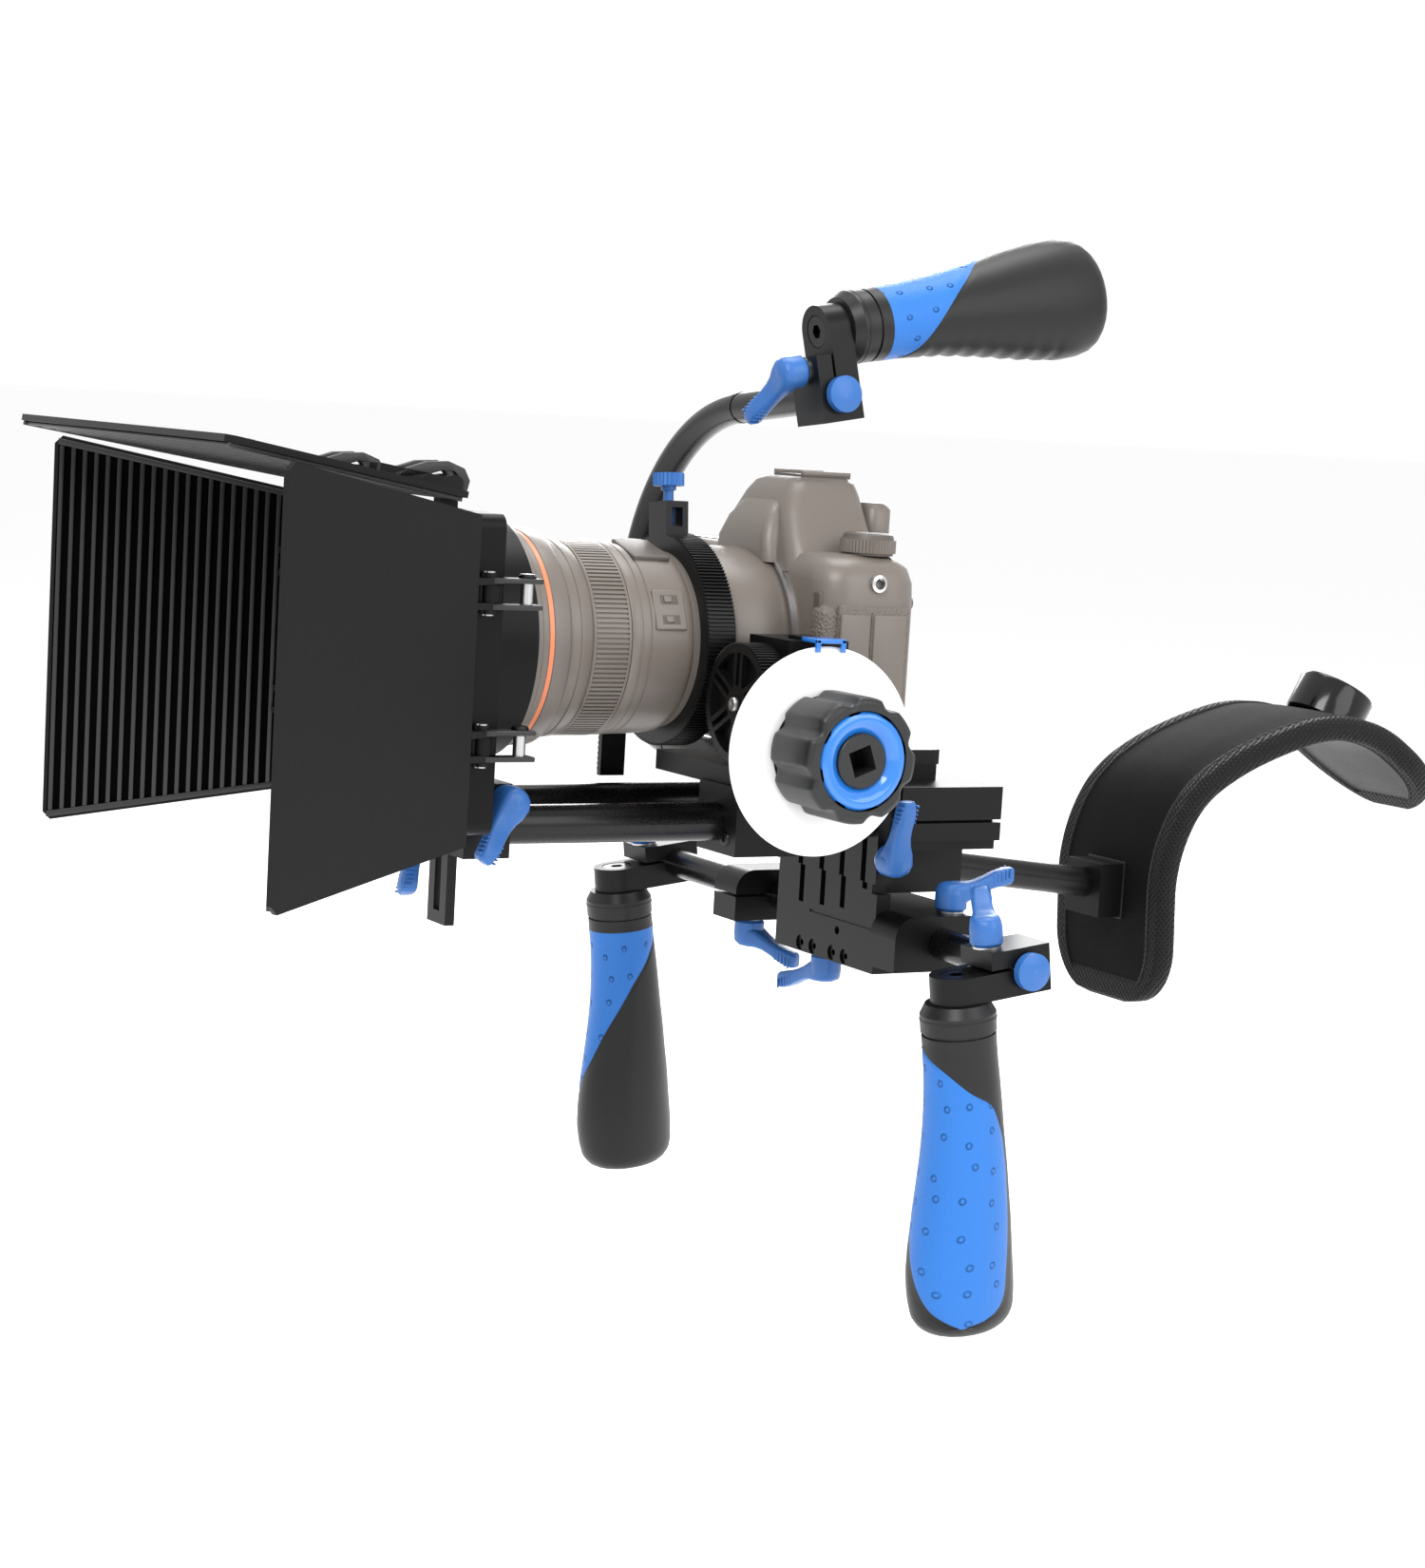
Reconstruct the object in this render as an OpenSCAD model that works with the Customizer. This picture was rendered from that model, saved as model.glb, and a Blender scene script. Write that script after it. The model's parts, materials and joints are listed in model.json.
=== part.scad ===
/* [Rods] */
// Diameter of the two upper support rods
rod_d = 15; // [14.8:0.1:15.2]
// Distance between the two upper rod axes
rod_gap = 60; // [60:0.5:61]
// Height of the upper rods above the underside
rod_z = 62; // [62:0.5:63]
// Diameter of the cross rod, the shoulder rod and the top handle tube
tube_d = 12.6; // [12.2:0.1:12.8]
// Height of the cross rod above the underside
cross_z = 15; // [15:0.1:15.4]

/* [Lens] */
// Height of the lens axis above the underside
lens_z = 130.4; // [130:0.1:131]
// Largest radius of the lens barrel
lens_r = 41.5; // [41:0.1:41.6]
// Radius of the lens front rim
rim_r = 43.3; // [43:0.1:43.3]

/* [Focus gears] */
// Teeth on the lens gear ring
ring_teeth = 166; // [166:1:166]
// Teeth on the drive gear
drive_teeth = 92; // [92:1:92]
// Module of all spur gears
gear_module = 0.5; // [0.5:0.1:0.5]

/* [Follow focus] */
// Outer radius of the marking disc
disc_r = 39.6; // [36:0.2:40]
// Outer radius of the hand knob
knob_r = 23.8; // [22:0.2:24.2]
// Length of the hand knob
knob_len = 29; // [26:0.5:30]

/* [Grips] */
// Length of each grip body below its collar
grip_len = 112; // [100:1:116]
// Half width of a grip at its widest place, front to back
grip_wide = 24.5; // [22:0.5:25]
// Half width of a grip at its widest place, side to side
grip_deep = 19; // [17:0.5:20]
// Pitch of the two side handle arms
arm_pitch = 7.5; // [5:0.5:9]

/* [Matte box] */
// Width of the matte box frame
frame_w = 146; // [140:1:148]
// Height of the matte box frame
frame_h = 116; // [110:1:118]
// Length of each side flag
flag_len = 95; // [85:1:96]
// Opening angle of the side flags
flag_open = 22; // [15:1:25]
// Upward tilt of the top flag
top_tilt = 9; // [6:1:12]

/* [Shoulder pad] */
// Width of the shoulder pad
pad_w = 76; // [70:1:80]
// Thickness of the shoulder pad
pad_t = 10; // [8:0.5:11]

/* [Hidden] */
$fn = 64;
fit = 0.05;

// Upper rods, riser plate and blocks
rod_front = -208;
rod_back = 34;
plate_front = -20;
plate_back = -13.4;
plate_half_w = 38;
block_back = 22;
lower_top = 26;
screw_xs = [-18.2, -8.3, 6.6, 16.1];
screw_z = 3.5;
groove_xs = [-19.4, -3, 12.4, 28.5];
groove_zs = [20.6, 21.7, 23, 33.4];

// Cross rod and its clamps
cross_left = -181.4;
cross_right = 121;
near_x = 105.5;
far_x = -170;
clamp_w = 18.6;
right_clamp_x = 38.3;
left_clamp_x = -87;

// Levers
lever_r = 6.5;
stud_r = 2.5;
right_lever_y = 9.2;
left_lever_y = -9.2;
lower_lever_x = -13.3;
lower_lever_y = -9.6;
riser_lever_x = 38.9;
riser_lever_y = -17;
right_riser_z = 46.8;
left_riser_z = 42;
matte_lever_y = -190.5;
matte_lever_z = 72.6;
bar_lever_z = 56;

// Handles and grips, a slice is [fraction of length, depth, width, offset]
arm_t = 21;
arm_half_h = 9.3;
eye_y = -26;
stud_y = -11.5;
bolt_len = 40;
collar_top = -9.6;
near_turn = 25;
far_turn = 25;
top_turn = 7;
grip_slices = [[0, 0.8, 0.63, 0], [0.33, 0.82, 0.68, 0], [0.55, 0.91, 0.84, 0], [0.82, 1, 1, 0],
    [0.95, 0.95, 0.93, 0], [1, 0.78, 0.76, 0]];

// Lens stations along the axis, front is negative
rim_y = -185;
red_y = -173;
bell_end = -165;
zoom_front = -154;
zoom_back = -137;
focus_front = -109;
focus_back = -92;
ring_front = -106;
ring_w = 11.6;
mount_y = -66;
barrel_r = 37.5;
seat_r = 34.6;
block_turn = 6;

// Gear geometry
ring_r = ring_teeth * gear_module / 2;
drive_r = drive_teeth * gear_module / 2;
mesh_angle = -17.3;
mesh_dist = ring_r + drive_r;
drive_x = mesh_dist * cos(mesh_angle);
drive_z = lens_z + mesh_dist * sin(mesh_angle);
drive_front = -104.5;
drive_w = 11.5;
train_teeth = 30;
train_r = train_teeth * gear_module / 2;
train_y0 = -73.2;
train_y1 = -69.4;
box_front = -92.6;
box_back = -66.3;
knob_y = -82;
knob_z = drive_z - 2 * train_r;
disc_x = 87;

// Shoulder rod slopes down towards the back, the pad follows [length, turn] stretches
shoulder_slope = 7;
shoulder_y0 = -8;
shoulder_z0 = 43.1;
shoulder_len = 130.4;
pad_start = [130, -22];
pad_heading = 93;
pad_path = [[48, 0], [36, -32], [22, -28], [24, -11], [28, -7], [27, -22], [27, -26], [44, -10]];
pad_steps = [for (s = pad_path) for (k = [1 : 6]) s / 6];
weight_x = -16;
weight_y = 248.8;
weight_z = 96.1;
weight_tilt = 28.7;

// Top handle tube
tube_y = -34;
tube_z = 76.5;
tube_low_r = 44;
tube_top_r = 96.3;
tube_x = -155;
tube_rise = 5.5;
tube_bend_z = 126.5;
tube_lead = (tube_top_r * sin(tube_rise) - tube_x - tube_top_r) / cos(tube_rise);
tube_axis_z = tube_bend_z + tube_top_r * cos(tube_rise) + tube_lead * sin(tube_rise);
tube_end = 10.9;
sleeve_r = 6.6;
handle_lean = 10;

// Matte box
clamp_front = -206;
clamp_back = -187;
bar_y = -196;
frame_front = -226;
frame_t = 16;
frame_z = 122;
flag_hinge_x = 77;
flag_hinge_y = -218;
flag_z = 121;
side_hinge_zs = [152, 97.5];
top_hinge_y = -218;
top_hinge_z = 188;
flag_t = 2.4;
rear_h = 118;
front_h = 151;

// Camera body
cam_left = 60;
cam_right = -92;
cam_bottom = 88.5;
cam_top = 168;
cam_back = -21;
dial_x = 43;
dial_y = -38;
button_x = -80;
button_y = -76;
wheel_x = -62;
wheel_z = 122;

// Gear outline, four points for each tooth, phase is the angle of a tooth
function gear_points(n, phase) = let (r = n * gear_module / 2)
    [for (i = [0 : n - 1]) for (k = [0 : 3])
        let (tip = k == 1 || k == 2, rk = tip ? r + 0.4 : r - 0.55)
        let (half = (tip ? 0.2 : 0.42) / rk * 180 / PI)
        let (a = phase + 360 * i / n + (k < 2 ? -half : half))
        rk * [cos(a), sin(a)]];

module along_y(y, x = 0, z = 0) { translate([x, y, z]) rotate([-90, 0, 0]) children(); }
module along_x(x, y = 0, z = 0) { translate([x, y, z]) rotate([0, 90, 0]) children(); }
module tube(r_out, r_in, h) {
    difference() {
        cylinder(r = r_out, h = h);
        translate([0, 0, -1]) cylinder(r = r_in, h = h + 2);
    }
}
module box(x0, x1, y0, y1, z0, z1) { translate([x0, y0, z0]) cube([x1 - x0, y1 - y0, z1 - z0]); }
// Plate of constant thickness with round corners, centred, drawn in X and Y
module round_plate(w, d, r, t) {
    linear_extrude(t) {
        translate([-w / 2 + r, -d / 2]) square([w - 2 * r, d]);
        translate([-w / 2, -d / 2 + r]) square([w, d - 2 * r]);
        for (x = [-1, 1]) for (y = [-1, 1])
            translate([x * (w / 2 - r), y * (d / 2 - r)]) circle(r = r);
    }
}
// Clamping lever: its stud points down and its wing points along +X
module lever(stud_len) {
    color("royalblue") {
        cylinder(r = lever_r, h = 9);
        translate([0, 0, -stud_len]) cylinder(r = stud_r, h = stud_len + 1);
        hull() {
            translate([0, 0, 8]) cylinder(r = lever_r - 0.6, h = 4, $fn = 32);
            translate([12, 0, 8]) cylinder(r = 3.4, h = 8, $fn = 32);
        }
        hull() {
            translate([12, 0, 8]) cylinder(r = 3.4, h = 8, $fn = 32);
            translate([23, 1.5, 11]) cylinder(r = 2.4, h = 7, $fn = 32);
        }
    }
}
// Places: a handle casting has its bore on the X axis and its arm along -Y
module at_near() { translate([near_x, 0, cross_z]) rotate([arm_pitch, 0, 0]) children(); }
module at_far() { translate([far_x, 0, cross_z]) rotate([arm_pitch, 0, 0]) children(); }
module at_top() {
    translate([0, tube_y, tube_axis_z]) rotate([0, -tube_rise, 0])
        rotate([handle_lean - 90, 0, 0]) rotate([0, 180, 0]) children();
}

// Support rods and centre blocks
module upper_rods() {
    color("dimgray") for (side = [-1, 1])
        along_y(rod_front, side * rod_gap / 2, rod_z) cylinder(r = rod_d / 2, h = rod_back - rod_front);
}
module rod_bores(y0, y1) {
    for (side = [-1, 1])
        along_y(y0, side * rod_gap / 2, rod_z) cylinder(r = rod_d / 2 + 0.02, h = y1 - y0);
}
module at_shoulder() {
    translate([0, shoulder_y0, shoulder_z0]) rotate([-90 - shoulder_slope, 0, 0]) children();
}
module upper_block() {
    color([0.12, 0.12, 0.12]) difference() {
        box(-42, 42, plate_back, rod_back + 1, 29, 76);
        rod_bores(plate_back - 1, rod_back + 2);
        at_shoulder() translate([0, 0, -4]) cylinder(r = tube_d / 2 + fit, h = 80);
        for (side = [-1, 1]) box(side * 40 - 4, side * 40 + 4, -14, 36, rod_z - 0.6, rod_z + 0.6);
        for (side = [-1, 1]) {
            box(side * 29.5 - 13.5, side * 29.5 + 13.5, -14, 36, 28, 50);
            box(side * 40.7 - 2.5, side * 40.7 + 2.5, -14, 36, 49, 54);
        }
    }
}
module camera_plate() {
    color([0.15, 0.15, 0.15]) difference() {
        union() {
            translate([0, -20, cam_bottom - 6]) round_plate(40, 80, 5, 6);
            box(-18, 18, -10, 18, 76, cam_bottom - 5.9);
        }
        translate([0, -44, 70]) cylinder(r = 3.3, h = 30);
    }
}
module plate_screws() {
    color("gray") {
        for (x = screw_xs) along_y(plate_front + 1, x, screw_z) difference() {
            union() {
                cylinder(r = 3, h = 3);
                cylinder(r = 1.5, h = 12);
            }
            translate([0, 0, -0.5]) cylinder(r = 1.4, h = 2.4, $fn = 6);
        }
        translate([0, -44, cam_bottom - 12]) cylinder(r = 8, h = 5.9);
        translate([0, -44, cam_bottom - 7]) cylinder(r = 3.1, h = 12.5);
    }
}
module riser_plate() {
    color([0.1, 0.1, 0.1]) difference() {
        union() {
            box(-plate_half_w, plate_half_w, plate_front, plate_back, 0, 76);
            box(-plate_half_w, plate_half_w, plate_front - 1.2, plate_back, 36.4, 76);
        }
        for (i = [0 : 3])
            box(groove_xs[i] - 1.8, groove_xs[i] + 1.8, plate_front - 3, plate_front + 2.4,
                groove_zs[i], 77);
        rod_bores(plate_front - 3, plate_back + 1);
        box(34, 39, plate_front - 1, plate_back + 1, 32.2, 36.4);
        box(-12, 39, plate_front - 1, plate_front + 0.5, 17.6, 18.6);
        along_y(plate_front - 1, 9.8, 13.2) cylinder(r = 1.7, h = 9);
        along_x(30, riser_lever_y, right_riser_z) cylinder(r = stud_r + fit, h = 9);
        along_x(-39, riser_lever_y, left_riser_z) cylinder(r = stud_r + fit, h = 9);
        for (x = screw_xs) {
            along_y(plate_front - 1, x, screw_z) cylinder(r = 3.05, h = 5.05);
            along_y(plate_front, x, screw_z) cylinder(r = 1.6, h = 9);
        }
    }
}
module lower_block() {
    color([0.12, 0.12, 0.12]) difference() {
        box(-plate_half_w, plate_half_w, plate_back, block_back, 0, lower_top);
        along_x(-40, 0, cross_z) cylinder(r = tube_d / 2 + 0.02, h = 80);
        translate([0, 0, -1]) cylinder(r = 3.175, h = 8);
        for (x = screw_xs) along_y(plate_back - 1, x, screw_z) cylinder(r = 1.55, h = 8);
        box(-40, 40, 0, block_back + 1, cross_z - 0.6, cross_z + 0.6);
        translate([lower_lever_x, lower_lever_y, -1]) cylinder(r = stud_r + fit, h = 7);
    }
}
module cross_rod() {
    color("dimgray") along_x(cross_left, 0, cross_z)
        cylinder(r = tube_d / 2, h = cross_right - 4 - cross_left);
}
module cap_shape() {
    cylinder(r = 7.3, h = 3.4);
    translate([0, 0, 3.4]) intersection() {
        translate([0, 0, -18.2]) sphere(r = 19.6);
        cylinder(r = 7.3, h = 3);
    }
}
module rod_caps() {
    color("royalblue") {
        along_x(cross_right - 4, 0, cross_z) cap_shape();
        translate([cross_left, 0, cross_z]) rotate([0, -90, 0]) cap_shape();
        translate([0, tube_y, tube_axis_z]) rotate([0, 90 - tube_rise, 0])
            translate([0, 0, tube_end]) cap_shape();
    }
}
module clamp_body(slit_y) {
    difference() {
        union() {
            box(0, clamp_w, -13.4, 13.4, 4, 26);
            box(0, clamp_w, -22.4, -13, 4, 17);
            along_x(0, -13.4, 17) cylinder(r = 9, h = clamp_w);
        }
        along_x(-1, 0, cross_z) cylinder(r = tube_d / 2 + 0.02, h = clamp_w + 2);
        box(-1, clamp_w + 1, slit_y, slit_y + 23, cross_z - 0.6, cross_z + 0.6);
    }
}
module rod_clamps() {
    color([0.12, 0.12, 0.12]) {
        translate([right_clamp_x, 0, 0]) difference() {
            clamp_body(0);
            translate([clamp_w / 2, right_lever_y, 3]) cylinder(r = stud_r + fit, h = 30);
        }
        translate([left_clamp_x, 0, 0]) difference() {
            clamp_body(-23);
            translate([clamp_w / 2, left_lever_y, 3]) cylinder(r = stud_r + fit, h = 21);
        }
    }
}

// Handles
module arm_casting() {
    color([0.14, 0.14, 0.14]) difference() {
        union() {
            box(-arm_t / 2, arm_t / 2, -16.5, 10.5, -arm_half_h, arm_half_h);
            box(-arm_t / 2, arm_t / 2, eye_y, 0, -arm_half_h, 1.2);
            translate([0, eye_y, -arm_half_h]) cylinder(r = arm_t / 2, h = arm_half_h + 1.2);
        }
        along_x(-20, 0, 0) cylinder(r = tube_d / 2 + fit, h = 40);
        box(-20, 20, -30, -3, 1.2, 2.4);
        translate([0, eye_y, -20]) cylinder(r = 4.02, h = 40);
        translate([0, eye_y, -3]) cylinder(r = 6.6, h = 10);
        translate([0, stud_y, -7.5]) cylinder(r = stud_r + fit, h = 30);
    }
}
module grip_bolt() {
    color("gray") translate([0, eye_y, 0]) {
        difference() {
            translate([0, 0, -3]) cylinder(r = 6.3, h = 4);
            translate([0, 0, -1.5]) cylinder(r = 3, h = 4, $fn = 6);
        }
        translate([0, 0, -bolt_len]) cylinder(r = 4, h = bolt_len - 2.9);
    }
}
module grip_collar() {
    color([0.13, 0.13, 0.14]) translate([0, eye_y, collar_top]) rotate([180, 0, 0]) difference() {
        union() {
            cylinder(r1 = 12.6, r2 = 14.8, h = 4);
            translate([0, 0, 4]) cylinder(r = 14.8, h = 7);
            translate([0, 0, 11]) cylinder(r = 13.8, h = 1.2);
            translate([0, 0, 11]) cylinder(r = 9, h = 26);
        }
        translate([0, 0, -1]) cylinder(r = 4.05, h = 60);
    }
}
function ring_points(a, b) = [for (i = [0 : 31]) [a * cos(i * 11.25), b * sin(i * 11.25)]];
module grip_slice(i) {
    s = grip_slices[i];
    translate([0, s[3], -s[0] * grip_len]) linear_extrude(0.4)
        polygon(ring_points(grip_deep * s[1], grip_wide * s[2]));
}
module grip_sleeve() {
    color([0.16, 0.16, 0.17]) translate([0, eye_y, collar_top - 12.7]) difference() {
        union() for (i = [0 : 4]) hull() {
            grip_slice(i);
            grip_slice(i + 1);
        }
        translate([0, 0, -30]) cylinder(r = 9.02, h = 40);
    }
}
module near_arm() { at_near() arm_casting(); }
module near_grip_bolt() { at_near() grip_bolt(); }
module near_grip_collar() { at_near() grip_collar(); }
module near_grip() { at_near() turn_grip(near_turn) grip_sleeve(); }
module far_arm() { at_far() arm_casting(); }
module far_grip_bolt() { at_far() grip_bolt(); }
module far_grip_collar() { at_far() grip_collar(); }
module far_grip() { at_far() turn_grip(far_turn) grip_sleeve(); }
module top_arm() { at_top() arm_casting(); }
module top_grip_bolt() { at_top() grip_bolt(); }
module top_grip_collar() { at_top() grip_collar(); }
module top_grip() { at_top() turn_grip(top_turn) grip_sleeve(); }
module turn_grip(angle) {
    translate([0, eye_y, 0]) rotate([0, 0, angle]) translate([0, -eye_y, 0]) children();
}

// Bent tube that carries the top handle
module tube_bend(cx, cz, r, start, angle) {
    translate([cx, tube_y, cz]) rotate([90, 0, 0]) rotate([0, 0, start])
        rotate_extrude(angle = angle) translate([r, 0]) circle(r = tube_d / 2);
}
module handle_tube() {
    color("dimgray") {
        along_x(tube_x + tube_low_r + 0.2, tube_y, tube_z)
            cylinder(r = tube_d / 2, h = -24.2 - tube_x - tube_low_r);
        along_x(tube_x + tube_low_r - 1.5, tube_y, tube_z) cylinder(r = sleeve_r, h = 3);
        tube_bend(tube_x + tube_low_r, tube_z + tube_low_r, tube_low_r, 180, 90);
        translate([tube_x, tube_y, tube_z + tube_low_r - 1.5])
            cylinder(r = sleeve_r, h = tube_bend_z - tube_z - tube_low_r + 3);
        tube_bend(tube_x + tube_top_r, tube_bend_z, tube_top_r, 90 + tube_rise, 90 - tube_rise);
        translate([0, tube_y, tube_axis_z]) rotate([0, 90 - tube_rise, 0]) {
            translate([0, 0, 0.2 - tube_lead]) cylinder(r = tube_d / 2, h = tube_lead + tube_end - 0.2);
            translate([0, 0, -tube_lead - 1.5]) cylinder(r = sleeve_r, h = 3);
        }
    }
}
module handle_tube_clamp() {
    color([0.12, 0.12, 0.12]) difference() {
        box(-52, -22, tube_y - 13, tube_y + 12.7, 50, 86);
        along_y(tube_y - 14, -rod_gap / 2, rod_z) cylinder(r = rod_d / 2 + 0.02, h = 28);
        along_x(-53, tube_y, tube_z) cylinder(r = tube_d / 2 + 0.02, h = 29.02);
        box(-53, -38, tube_y - 14, tube_y + 14, rod_z - 0.6, rod_z + 0.6);
    }
}

// Shoulder support
module shoulder_rod() {
    color("dimgray") at_shoulder() cylinder(r = tube_d / 2, h = shoulder_len);
}
module pad_bracket() {
    color([0.1, 0.1, 0.1]) difference() {
        box(-12, 12, 110, 121.6, 15, 38);
        at_shoulder() translate([0, 0, 100]) cylinder(r = tube_d / 2 + 0.02, h = 40);
    }
}
// Middle line of the pad as points with their heading
function walk(i, p, a) = i == len(pad_steps) ? [[p[0], p[1], a]] :
    let (s = pad_steps[i], m = a + s[1] / 2)
    concat([[p[0], p[1], a]], walk(i + 1, p + s[0] * [cos(m), sin(m)], a + s[1]));
module shoulder_pad() {
    line = walk(0, pad_start, pad_heading);
    sides = [for (d = [pad_t / 2, -pad_t / 2])
        [for (q = line) [q[0] - d * sin(q[2]), q[1] + d * cos(q[2])]]];
    color([0.08, 0.08, 0.08]) translate([-pad_w / 2, 0, 0]) rotate([90, 0, 90]) linear_extrude(pad_w)
        polygon(concat(sides[0], [for (k = [len(line) - 1 : -1 : 0]) sides[1][k]]));
}
module counterweight() {
    color([0.05, 0.05, 0.05]) translate([weight_x, weight_y, weight_z]) rotate([-weight_tilt, 0, 0]) {
        cylinder(r = 17.5, h = 17);
        translate([0, 0, 17]) cylinder(r = 16.4, h = 1);
    }
}

// Matte box
module matte_rod_clamp() {
    color([0.1, 0.1, 0.1]) difference() {
        box(-42, 42, clamp_front, clamp_back, 51, 79);
        for (side = [-1, 1])
            along_y(clamp_front - 1, side * rod_gap / 2, rod_z) cylinder(r = rod_d / 2 + fit, h = 30);
        box(-8.1, 8.1, bar_y - 0.1, bar_y + 4.1, 50, 80);
        box(-19, 19, clamp_front - 1, bar_y - 2.5, 50, 76);
        along_x(30, matte_lever_y, matte_lever_z) cylinder(r = stud_r + fit, h = 13);
        along_y(clamp_front - 1, 0, bar_lever_z) cylinder(r = stud_r + fit, h = 20);
        for (x = [-43, 36])
            box(x, x + 7, clamp_front - 1, clamp_back + 1, rod_z - 0.6, rod_z + 0.6);
    }
}
module height_bar() {
    color([0.13, 0.13, 0.13]) difference() {
        union() {
            box(-8, 8, bar_y, bar_y + 4, 20, 83.4);
            box(-8, 8, frame_front + frame_t, bar_y + 4, 79.6, 83.4);
        }
        box(-2.7, 2.7, bar_y - 1, bar_y + 5, 25, 73);
    }
}
module matte_frame() {
    color([0.08, 0.08, 0.08]) translate([0, frame_front, frame_z]) difference() {
        union() {
            rotate([-90, 0, 0]) round_plate(frame_w, frame_h, 5, frame_t);
            for (side = [-1, 1]) {
                box(side * 38 - 3, side * 38 + 3, 4.5, 11.5, frame_h / 2 - 1, top_hinge_z - frame_z);
                along_x(side * 38 - 3, top_hinge_y - frame_front, top_hinge_z - frame_z)
                    cylinder(r = 3.5, h = 6);
                for (z = side_hinge_zs) {
                    translate([side * 75 - 4, 4, z - frame_z - 3]) cube([8, 8, 6]);
                    translate([side * flag_hinge_x, flag_hinge_y - frame_front, z - frame_z - 3])
                        cylinder(r = 4, h = 6);
                }
            }
        }
        translate([0, -1, 0]) rotate([-90, 0, 0]) round_plate(frame_w - 16, frame_h - 16, 4, frame_t - 1);
        along_y(frame_t - 2.1, 0, lens_z - frame_z) cylinder(r = 44, h = 4);
        along_x(-60, top_hinge_y - frame_front, top_hinge_z - frame_z) cylinder(r = 1.55, h = 120);
        for (side = [-1, 1]) translate([side * flag_hinge_x, flag_hinge_y - frame_front, -60])
            cylinder(r = 1.55, h = 120);
    }
}
module lens_cone() {
    color([0.07, 0.07, 0.07]) along_y(frame_front + frame_t, 0, lens_z) rotate_extrude()
        polygon([[44, 0], [46.5, 0], [45.9, 17], [45.9, 29], [rim_r + 0.5, 29], [rim_r + 0.5, 20],
            [42.5, 17]]);
}
// Flags: plate outlines are trapezoids that widen towards the front
module flag_outline(rear, front, length) {
    linear_extrude(flag_t) polygon([[-rear, 0], [rear, 0], [front, -length + 3], [front - 3, -length],
        [3 - front, -length], [-front, -length + 3]]);
}
module top_flag() {
    color([0.07, 0.07, 0.07]) translate([0, top_hinge_y, top_hinge_z]) rotate([-top_tilt, 0, 0]) {
        translate([0, -5.5, -3.9]) flag_outline(69, 109, 108.5);
        for (side = [-1, 1]) for (x = [side * 38 - 6.4, side * 38 + 3.4]) {
            box(x, x + 3, -30, -2, -1.7, 3);
            along_x(x, 0, 0) cylinder(r = 4.4, h = 3);
        }
        for (side = [-1, 1]) along_x(side * 38 - 6.4, 0, 0) cylinder(r = 1.5, h = 12.8);
    }
}
module side_flag() {
    rear = rear_h / 2;
    front = front_h / 2;
    translate([flag_t + 1, -9, 0]) rotate([0, -90, 0]) flag_outline(rear, front, flag_len);
    box(-3, 1.2, -11.4, -9, -rear + 3, rear - 3);
    for (z = side_hinge_zs) translate([0, 0, z - flag_z]) {
        for (dz = [-5.6, 3.2]) translate([0, 0, dz]) {
            translate([-3.4, -16, 0]) cube([6.8, 16, 2.4]);
            cylinder(r = 3.6, h = 2.4);
        }
        translate([0, 0, -6.4]) cylinder(r = 1.5, h = 12.8);
        for (dz = [-7.4, 5.4]) translate([0, 0, dz]) cylinder(r = 2.8, h = 2);
    }
}
module near_flag() {
    color([0.07, 0.07, 0.07]) translate([flag_hinge_x, flag_hinge_y, flag_z]) rotate([0, 0, flag_open])
        side_flag();
}
module far_flag() {
    color([0.07, 0.07, 0.07]) translate([-flag_hinge_x, flag_hinge_y, flag_z]) rotate([0, 0, -flag_open])
        mirror([1, 0, 0]) side_flag();
}

// Lens, turned about the Y axis
module lens_barrel() {
    color([0.55, 0.52, 0.49]) along_y(0, 0, lens_z) rotate_extrude() polygon([
        [34, rim_y], [rim_r, rim_y], [rim_r, -178], [42.3, -175], [42.3, red_y - 1], [41.2, red_y],
        [41.2, red_y + 2], [lens_r, red_y + 3], [lens_r, bell_end], [38.6, bell_end + 1.5], [38, zoom_front],
        [seat_r, zoom_front],
        [seat_r, zoom_back], [37.2, zoom_back], [36.6, focus_front - 1.2],
        [35.6, focus_front], [seat_r, focus_front],
        [seat_r, focus_back], [barrel_r, focus_back], [barrel_r, mount_y - 0.1], [30, mount_y - 0.1],
        [30, -168], [35, -168], [35, -172.1], [34, -172.1]]);
}
module front_glass() {
    color("lightsteelblue") along_y(-172, 0, lens_z) cylinder(r = 34.95, h = 3.9);
}
module zoom_ring() {
    color([0.5, 0.47, 0.44]) along_y(zoom_front + 0.2, 0, lens_z)
        tube(37.8, seat_r + fit, zoom_back - zoom_front - 0.4);
}
module lens_gear_ring() {
    color([0.07, 0.07, 0.07]) {
        translate([0, ring_front + ring_w, lens_z]) rotate([90, 0, 0]) difference() {
            linear_extrude(ring_w)
                polygon(gear_points(ring_teeth, mesh_angle + 180 / ring_teeth));
            translate([0, 0, -1]) cylinder(r = seat_r + fit, h = ring_w + 2);
        }
        translate([0, 0, lens_z]) rotate([0, -block_turn, 0]) difference() {
            box(-7, 7, ring_front, ring_front + 10, 40, 54);
            box(-8, 8, ring_front + 2.5, ring_front + 7.5, 44, 51.5);
            translate([0, ring_front + 5, 40]) cylinder(r = 2.05, h = 15);
        }
        box(-44, -41.2, ring_front, ring_front + ring_w - 0.6, 71, lens_z);
    }
}
module gear_ring_screw() {
    color("royalblue") translate([0, ring_front + 5, lens_z]) rotate([0, -block_turn, 0]) {
        translate([0, 0, 45]) cylinder(r = 2, h = 16);
        translate([0, 0, 58.5]) cylinder(r = 3, h = 2);
        translate([0, 0, 60.2]) linear_extrude(5) polygon([for (i = [0 : 47])
            let (r = i % 2 == 0 ? 6.2 : 5.7) [r * cos(i * 7.5), r * sin(i * 7.5)]]);
    }
}

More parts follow.
